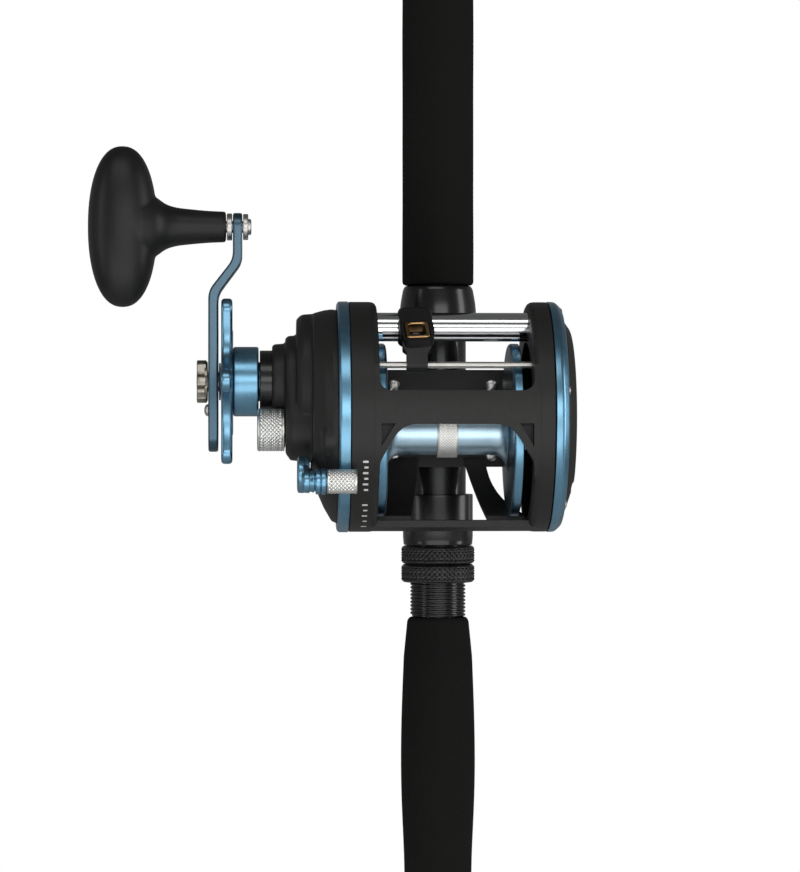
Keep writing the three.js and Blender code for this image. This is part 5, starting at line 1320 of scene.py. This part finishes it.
# %% [markdown]
# ## Cast control and lever
# Bare knurled aluminium marks what the thumb turns: the cast-control cap, and the roller on the lever.
# %% Cast-control cap
cap_low, cap_high = span("cast_control_cap")
cap = turned("cast_cap_knurled", [
    (cap_low, 0), (cap_low, 7.6, 0.5), (cap_low + 0.7, 8.2, 0.3), (cap_high - 1.0, 8.2, 0.1),
    (cap_high - 0.9, 7.8, 0.1), (cap_high - 0.5, 8.1, 0.1), (cap_high, 8.0, 0.2), (cap_high, 7.1),
    (-69.6, 7.1), (-69.6, 0),
], corner=0.2, sides=336, row=0.22)
grow(cap, knurling, {"Around": 34.0, "Rows per Metre": 700.0, "Depth": 0.5 * MM, "Low": (cap_low + 0.8) * MM,
                     "High": (cap_high - 1.2) * MM, "Fade": 0.3 * MM}, "knurled_silver")
dress(cap, "cast_control_cap", smooth=50, flats=False)

# %% Lever and roller
away = math.atan2(ROLLER[1] - LEVER[1], ROLLER[0] - LEVER[0])
reach = math.dist(ROLLER, LEVER)
outline = [(6.8 * math.cos(a), 6.8 * math.sin(a)) for a in np.linspace(0.6, TURN - 0.6, 40)]
outline += arc((reach, 0), 4.2, -math.pi / 2, math.pi / 2, 20)
turned_outline = [
    (LEVER[0] + p * math.cos(away) - q * math.sin(away), LEVER[1] + p * math.sin(away) + q * math.cos(away))
    for p, q in outline
]
lever = slab("lever_milled", turned_outline, -55.4, -52.8)
soften(lever, 0.7, 3, 40)
steps = turned("steps", [
    (-57.3, 0), (-57.3, 5.9, 0.6), (-56.8, 6.9, 0.4), (-54.7, 6.9, 0.1), (-54.5, 6.4, 0.1), (-54.2, 6.4, 0.1),
    (-54.0, 6.9, 0.1), (-52.6, 6.9, 0.3), (-52.6, 0),
], LEVER, corner=0.2)
collar = turned("collar", [
    (-55.9, 0), (-55.9, 3.4, 0.6), (-52.6, 3.8, 0.4), (-51.4, 4.2, 0.3), (-51.2, 3.6, 0.1), (-50.9, 3.6, 0.1),
    (-50.7, 4.8, 0.3), (-49.2, 4.8, 0.2), (-49.0, 4.3, 0.1), (-48.8, 4.3, 0.1), (-48.6, 4.9, 0.3),
    (-47.2, 4.9, 0.4), (-46.9, 4.4, 0.1), (-46.9, 0),
], ROLLER, corner=0.1)
join(lever, steps, bore(-53.8, -46, 2.5, LEVER, 48), collar, bore(-48, -36.2, 1.9, ROLLER, 48))
dress(lever, "freespool_lever", smooth=40)
roller = turned("roller_knurled", [
    (-46.6, 2.2), (-46.6, 4.6, 0.4), (-35.5, 4.6, 0.6), (-35.5, 0), (-35.9, 0), (-35.9, 2.2),
], ROLLER, corner=0.1, sides=208, row=0.2)
grow(roller, knurling, {"Around": 20.0, "Rows per Metre": 700.0, "Depth": 0.42 * MM, "Low": -46.3 * MM,
                        "High": -36.2 * MM, "Fade": 0.3 * MM}, "knurled_silver")
dress(roller, "lever_roller", smooth=50, flats=False)
print("roller faces:", len(roller.data.polygons))

# %% [markdown]
# Two rows of pale ticks on the head plate say where the lever stands for winding in and for letting line
# run.
# %% Lever ticks
TICK_PITCH = 2.1
ticks = None
for first, count in ((-11.8, 6), (-28.0, 5)):
    for k in range(count):
        height = first - TICK_PITCH * k
        near = PLATE[0] - math.sqrt(RIM ** 2 - (height - PLATE[1]) ** 2)
        middle = math.atan2(height - PLATE[1], near - PLATE[0])
        swing = 0.42 / RIM
        inner = arc(PLATE, RIM - 0.3, middle - swing, middle + swing, 3)
        outer = arc(PLATE, RIM + 0.04, middle + swing, middle - swing, 3)
        tick = slab("lever_ticks", inner + outer, -33.2 + 0.5 * (k % 2), -31.2)
        ticks = join(ticks, tick) if ticks else tick
trim(ticks, "reel_frame", "tick_paint")

# %% [markdown]
# ## Guides
# Each guide is a ceramic ring in a steel frame whose four legs run down to two feet on the blank. Each
# foot is whipped down with thread. The tip top is a socket glued over the end of the blank.
# %% Wires, guides and whippings
def wire(name, points, radius, origin=ROD):
    data = bpy.data.curves.new(name, "CURVE")
    data.dimensions = "3D"
    data.bevel_depth, data.bevel_resolution, data.use_fill_caps = radius * MM, 4, True
    line = data.splines.new("POLY")
    line.points.add(len(points) - 1)
    for spot, place in zip(line.points, points):
        spot.co = (*((Vector(place) + origin) * MM), 1)
    holder = bpy.data.objects.new(name, data)
    scene.collection.objects.link(holder)
    mesh = bpy.data.meshes.new_from_object(holder.evaluated_get(bpy.context.evaluated_depsgraph_get()))
    bpy.data.objects.remove(holder)
    shell = bmesh.new()
    shell.from_mesh(mesh)
    bmesh.ops.remove_doubles(shell, verts=shell.verts, dist=1e-6)
    bmesh.ops.recalc_face_normals(shell, faces=shell.faces)
    shell.to_mesh(mesh)
    shell.free()
    piece = bpy.data.objects.new(name, mesh)
    scene.collection.objects.link(piece)
    return piece


WHIPPING = 16
THREAD = 0.18
whippings = 0
for number in range(1, 5):
    name = f"guide_{number}"
    ring_low, ring_high = (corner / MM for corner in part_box(name + "_ring"))
    height = (ring_low.z + ring_high.z) / 2
    across, outer_ring = (ring_low.y + ring_high.y) / 2, (ring_high.x - ring_low.x) / 2
    clear = outer_ring - 1.4
    radius = blank_radius(height)
    ring = turned(name + "_ring_fired", [
        (-1.4, clear + 0.5, 0.5), (-0.5, clear, 0.4), (0.5, clear, 0.4), (1.4, clear + 0.5, 0.5),
        (1.2, outer_ring, 0.3), (-1.2, outer_ring, 0.3),
    ], (0, across), "z", Vector((0, 0, height)), corner=0.3, sides=72)
    dress(ring, name + "_ring", flats=False)
    hold = outer_ring + 0.85
    holder = turned(name + "_frame_bent", [
        (-1.0, outer_ring + 0.25), (-1.1, hold + 0.5), (1.1, hold + 0.5), (1.0, outer_ring + 0.25),
    ], (0, across), "z", Vector((0, 0, height)), corner=0.4, sides=72)
    spread = 0.9 * (9 + clear)
    low_leg, chord = -(radius + 1.1), math.sqrt(hold ** 2 - (0.3 * hold) ** 2)
    parts = []
    for end in (-1, 1):
        for way in (-1, 1):
            start = (way * chord, across + 0.3 * hold, height)
            foot_place = (way * 0.9, low_leg, height + end * spread)
            towards = (way * chord * 0.75, low_leg * 0.4 + across * 0.5, height + end * spread * 0.45)
            parts.append(wire("leg", curve(start, towards, foot_place, 14), 0.95))
        a, b = sorted((height + end * (spread - 1.5), height + end * (spread + 11)))
        tip_end = 1 if end > 0 else 0
        parts.append(slab("foot", [
            (low_leg - 0.75, a + (1 - tip_end) * 4.0), (low_leg + 0.75, a), (low_leg + 0.75, b),
            (low_leg - 0.75, b - tip_end * 4.0),
        ], -1.5, 1.5, origin=ROD))
        wrap_low = height + end * (spread + 6.2) - 8.0
        wrapped = blank_radius(wrap_low)
        wound(f"{name}_whipping_{'upper' if end > 0 else 'lower'}", name + "_frame", "winding_thread", **{
            "Turns": 40.0, "Steps": 26, "Start Radius": (wrapped + THREAD) * MM,
            "End Radius": (blank_radius(wrap_low + WHIPPING) + THREAD) * MM, "Height": WHIPPING * MM,
            "Section": 0.26 * MM, "Section Sides": 5, "Lift": 1.85 * MM, "Base": (0, 0, wrap_low * MM),
        })
        whippings += 1
    join(holder, *parts)
    dress(holder, name + "_frame", smooth=50, flats=False)
print("whippings:", whippings)

# %% Tip top
ring_low, ring_high = (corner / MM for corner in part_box("tip_top_ring"))
across, ring_height = (ring_low.y + ring_high.y) / 2, (ring_low.z + ring_high.z) / 2
place = Vector((0, 0, ring_height))
dress(turned("tip_ring_fired", [
    (-1.2, 3.6, 0.4), (-0.4, 3.2, 0.3), (0.4, 3.2, 0.3), (1.2, 3.6, 0.4), (1.0, 4.6, 0.3), (-1.0, 4.6, 0.3),
], (0, across), "z", place, corner=0.3, sides=64), "tip_top_ring", flats=False)
socket_low = span("tip_top_frame", 2, ROD)[0]
socket = blank_radius(socket_low) + 0.3
socket_high = span("rod_blank", 2, ROD)[1]
tip_frame = turned("tip_top_bent", [
    (socket_low, socket), (socket_low, socket + 0.8, 0.2), (socket_high + 0.5, socket + 0.8, 0.6),
    (socket_high + 1.4, socket * 0.5, 0.4), (socket_high + 1.4, 0), (socket_high + 0.3, 0),
    (socket_high + 0.3, socket),
], axis="z", origin=ROD, corner=0.1, sides=48)
tip_hold = turned("tip_hold", [(-1.0, 4.85), (-1.1, 6.0), (1.1, 6.0), (1.0, 4.85)], (0, across), "z", place,
                  corner=0.35, sides=64)
braces = [
    wire("brace", [(way * 5.3, across - 0.4, ring_height), (way * 1.2, -(socket + 0.2), socket_low + 3)], 0.65)
    for way in (-1, 1)
]
stem = wire("stem", [(0, 0, socket_high + 0.9), (0, -0.6, ring_height - 1.0), (0, -0.9, ring_height)], 0.75)
join(tip_frame, tip_hold, stem, *braces)
cut(tip_frame, turned("room", [(-4, 0), (-4, 4.85), (4, 4.85), (4, 0)], (0, across), "z", place, corner=0))
dress(tip_frame, "tip_top_frame", smooth=50, flats=False)

# %% [markdown]
# What is left of the model are the parts deep inside, such as gears, bearings and shafts. Their shapes
# are right as they are, so they only get their finish.
# %% Inner parts keep their shape
kept = []
for node, inner in frame["nodes"].items():
    if not inner.hide_render:
        inner.data.materials.clear()
        inner.data.materials.append(finishes[slot_of[node]])
        kept.append(node)
print("kept as modelled:", kept)
print("heaviest pieces:", sorted(tally, key=lambda row: -row[1])[:6])
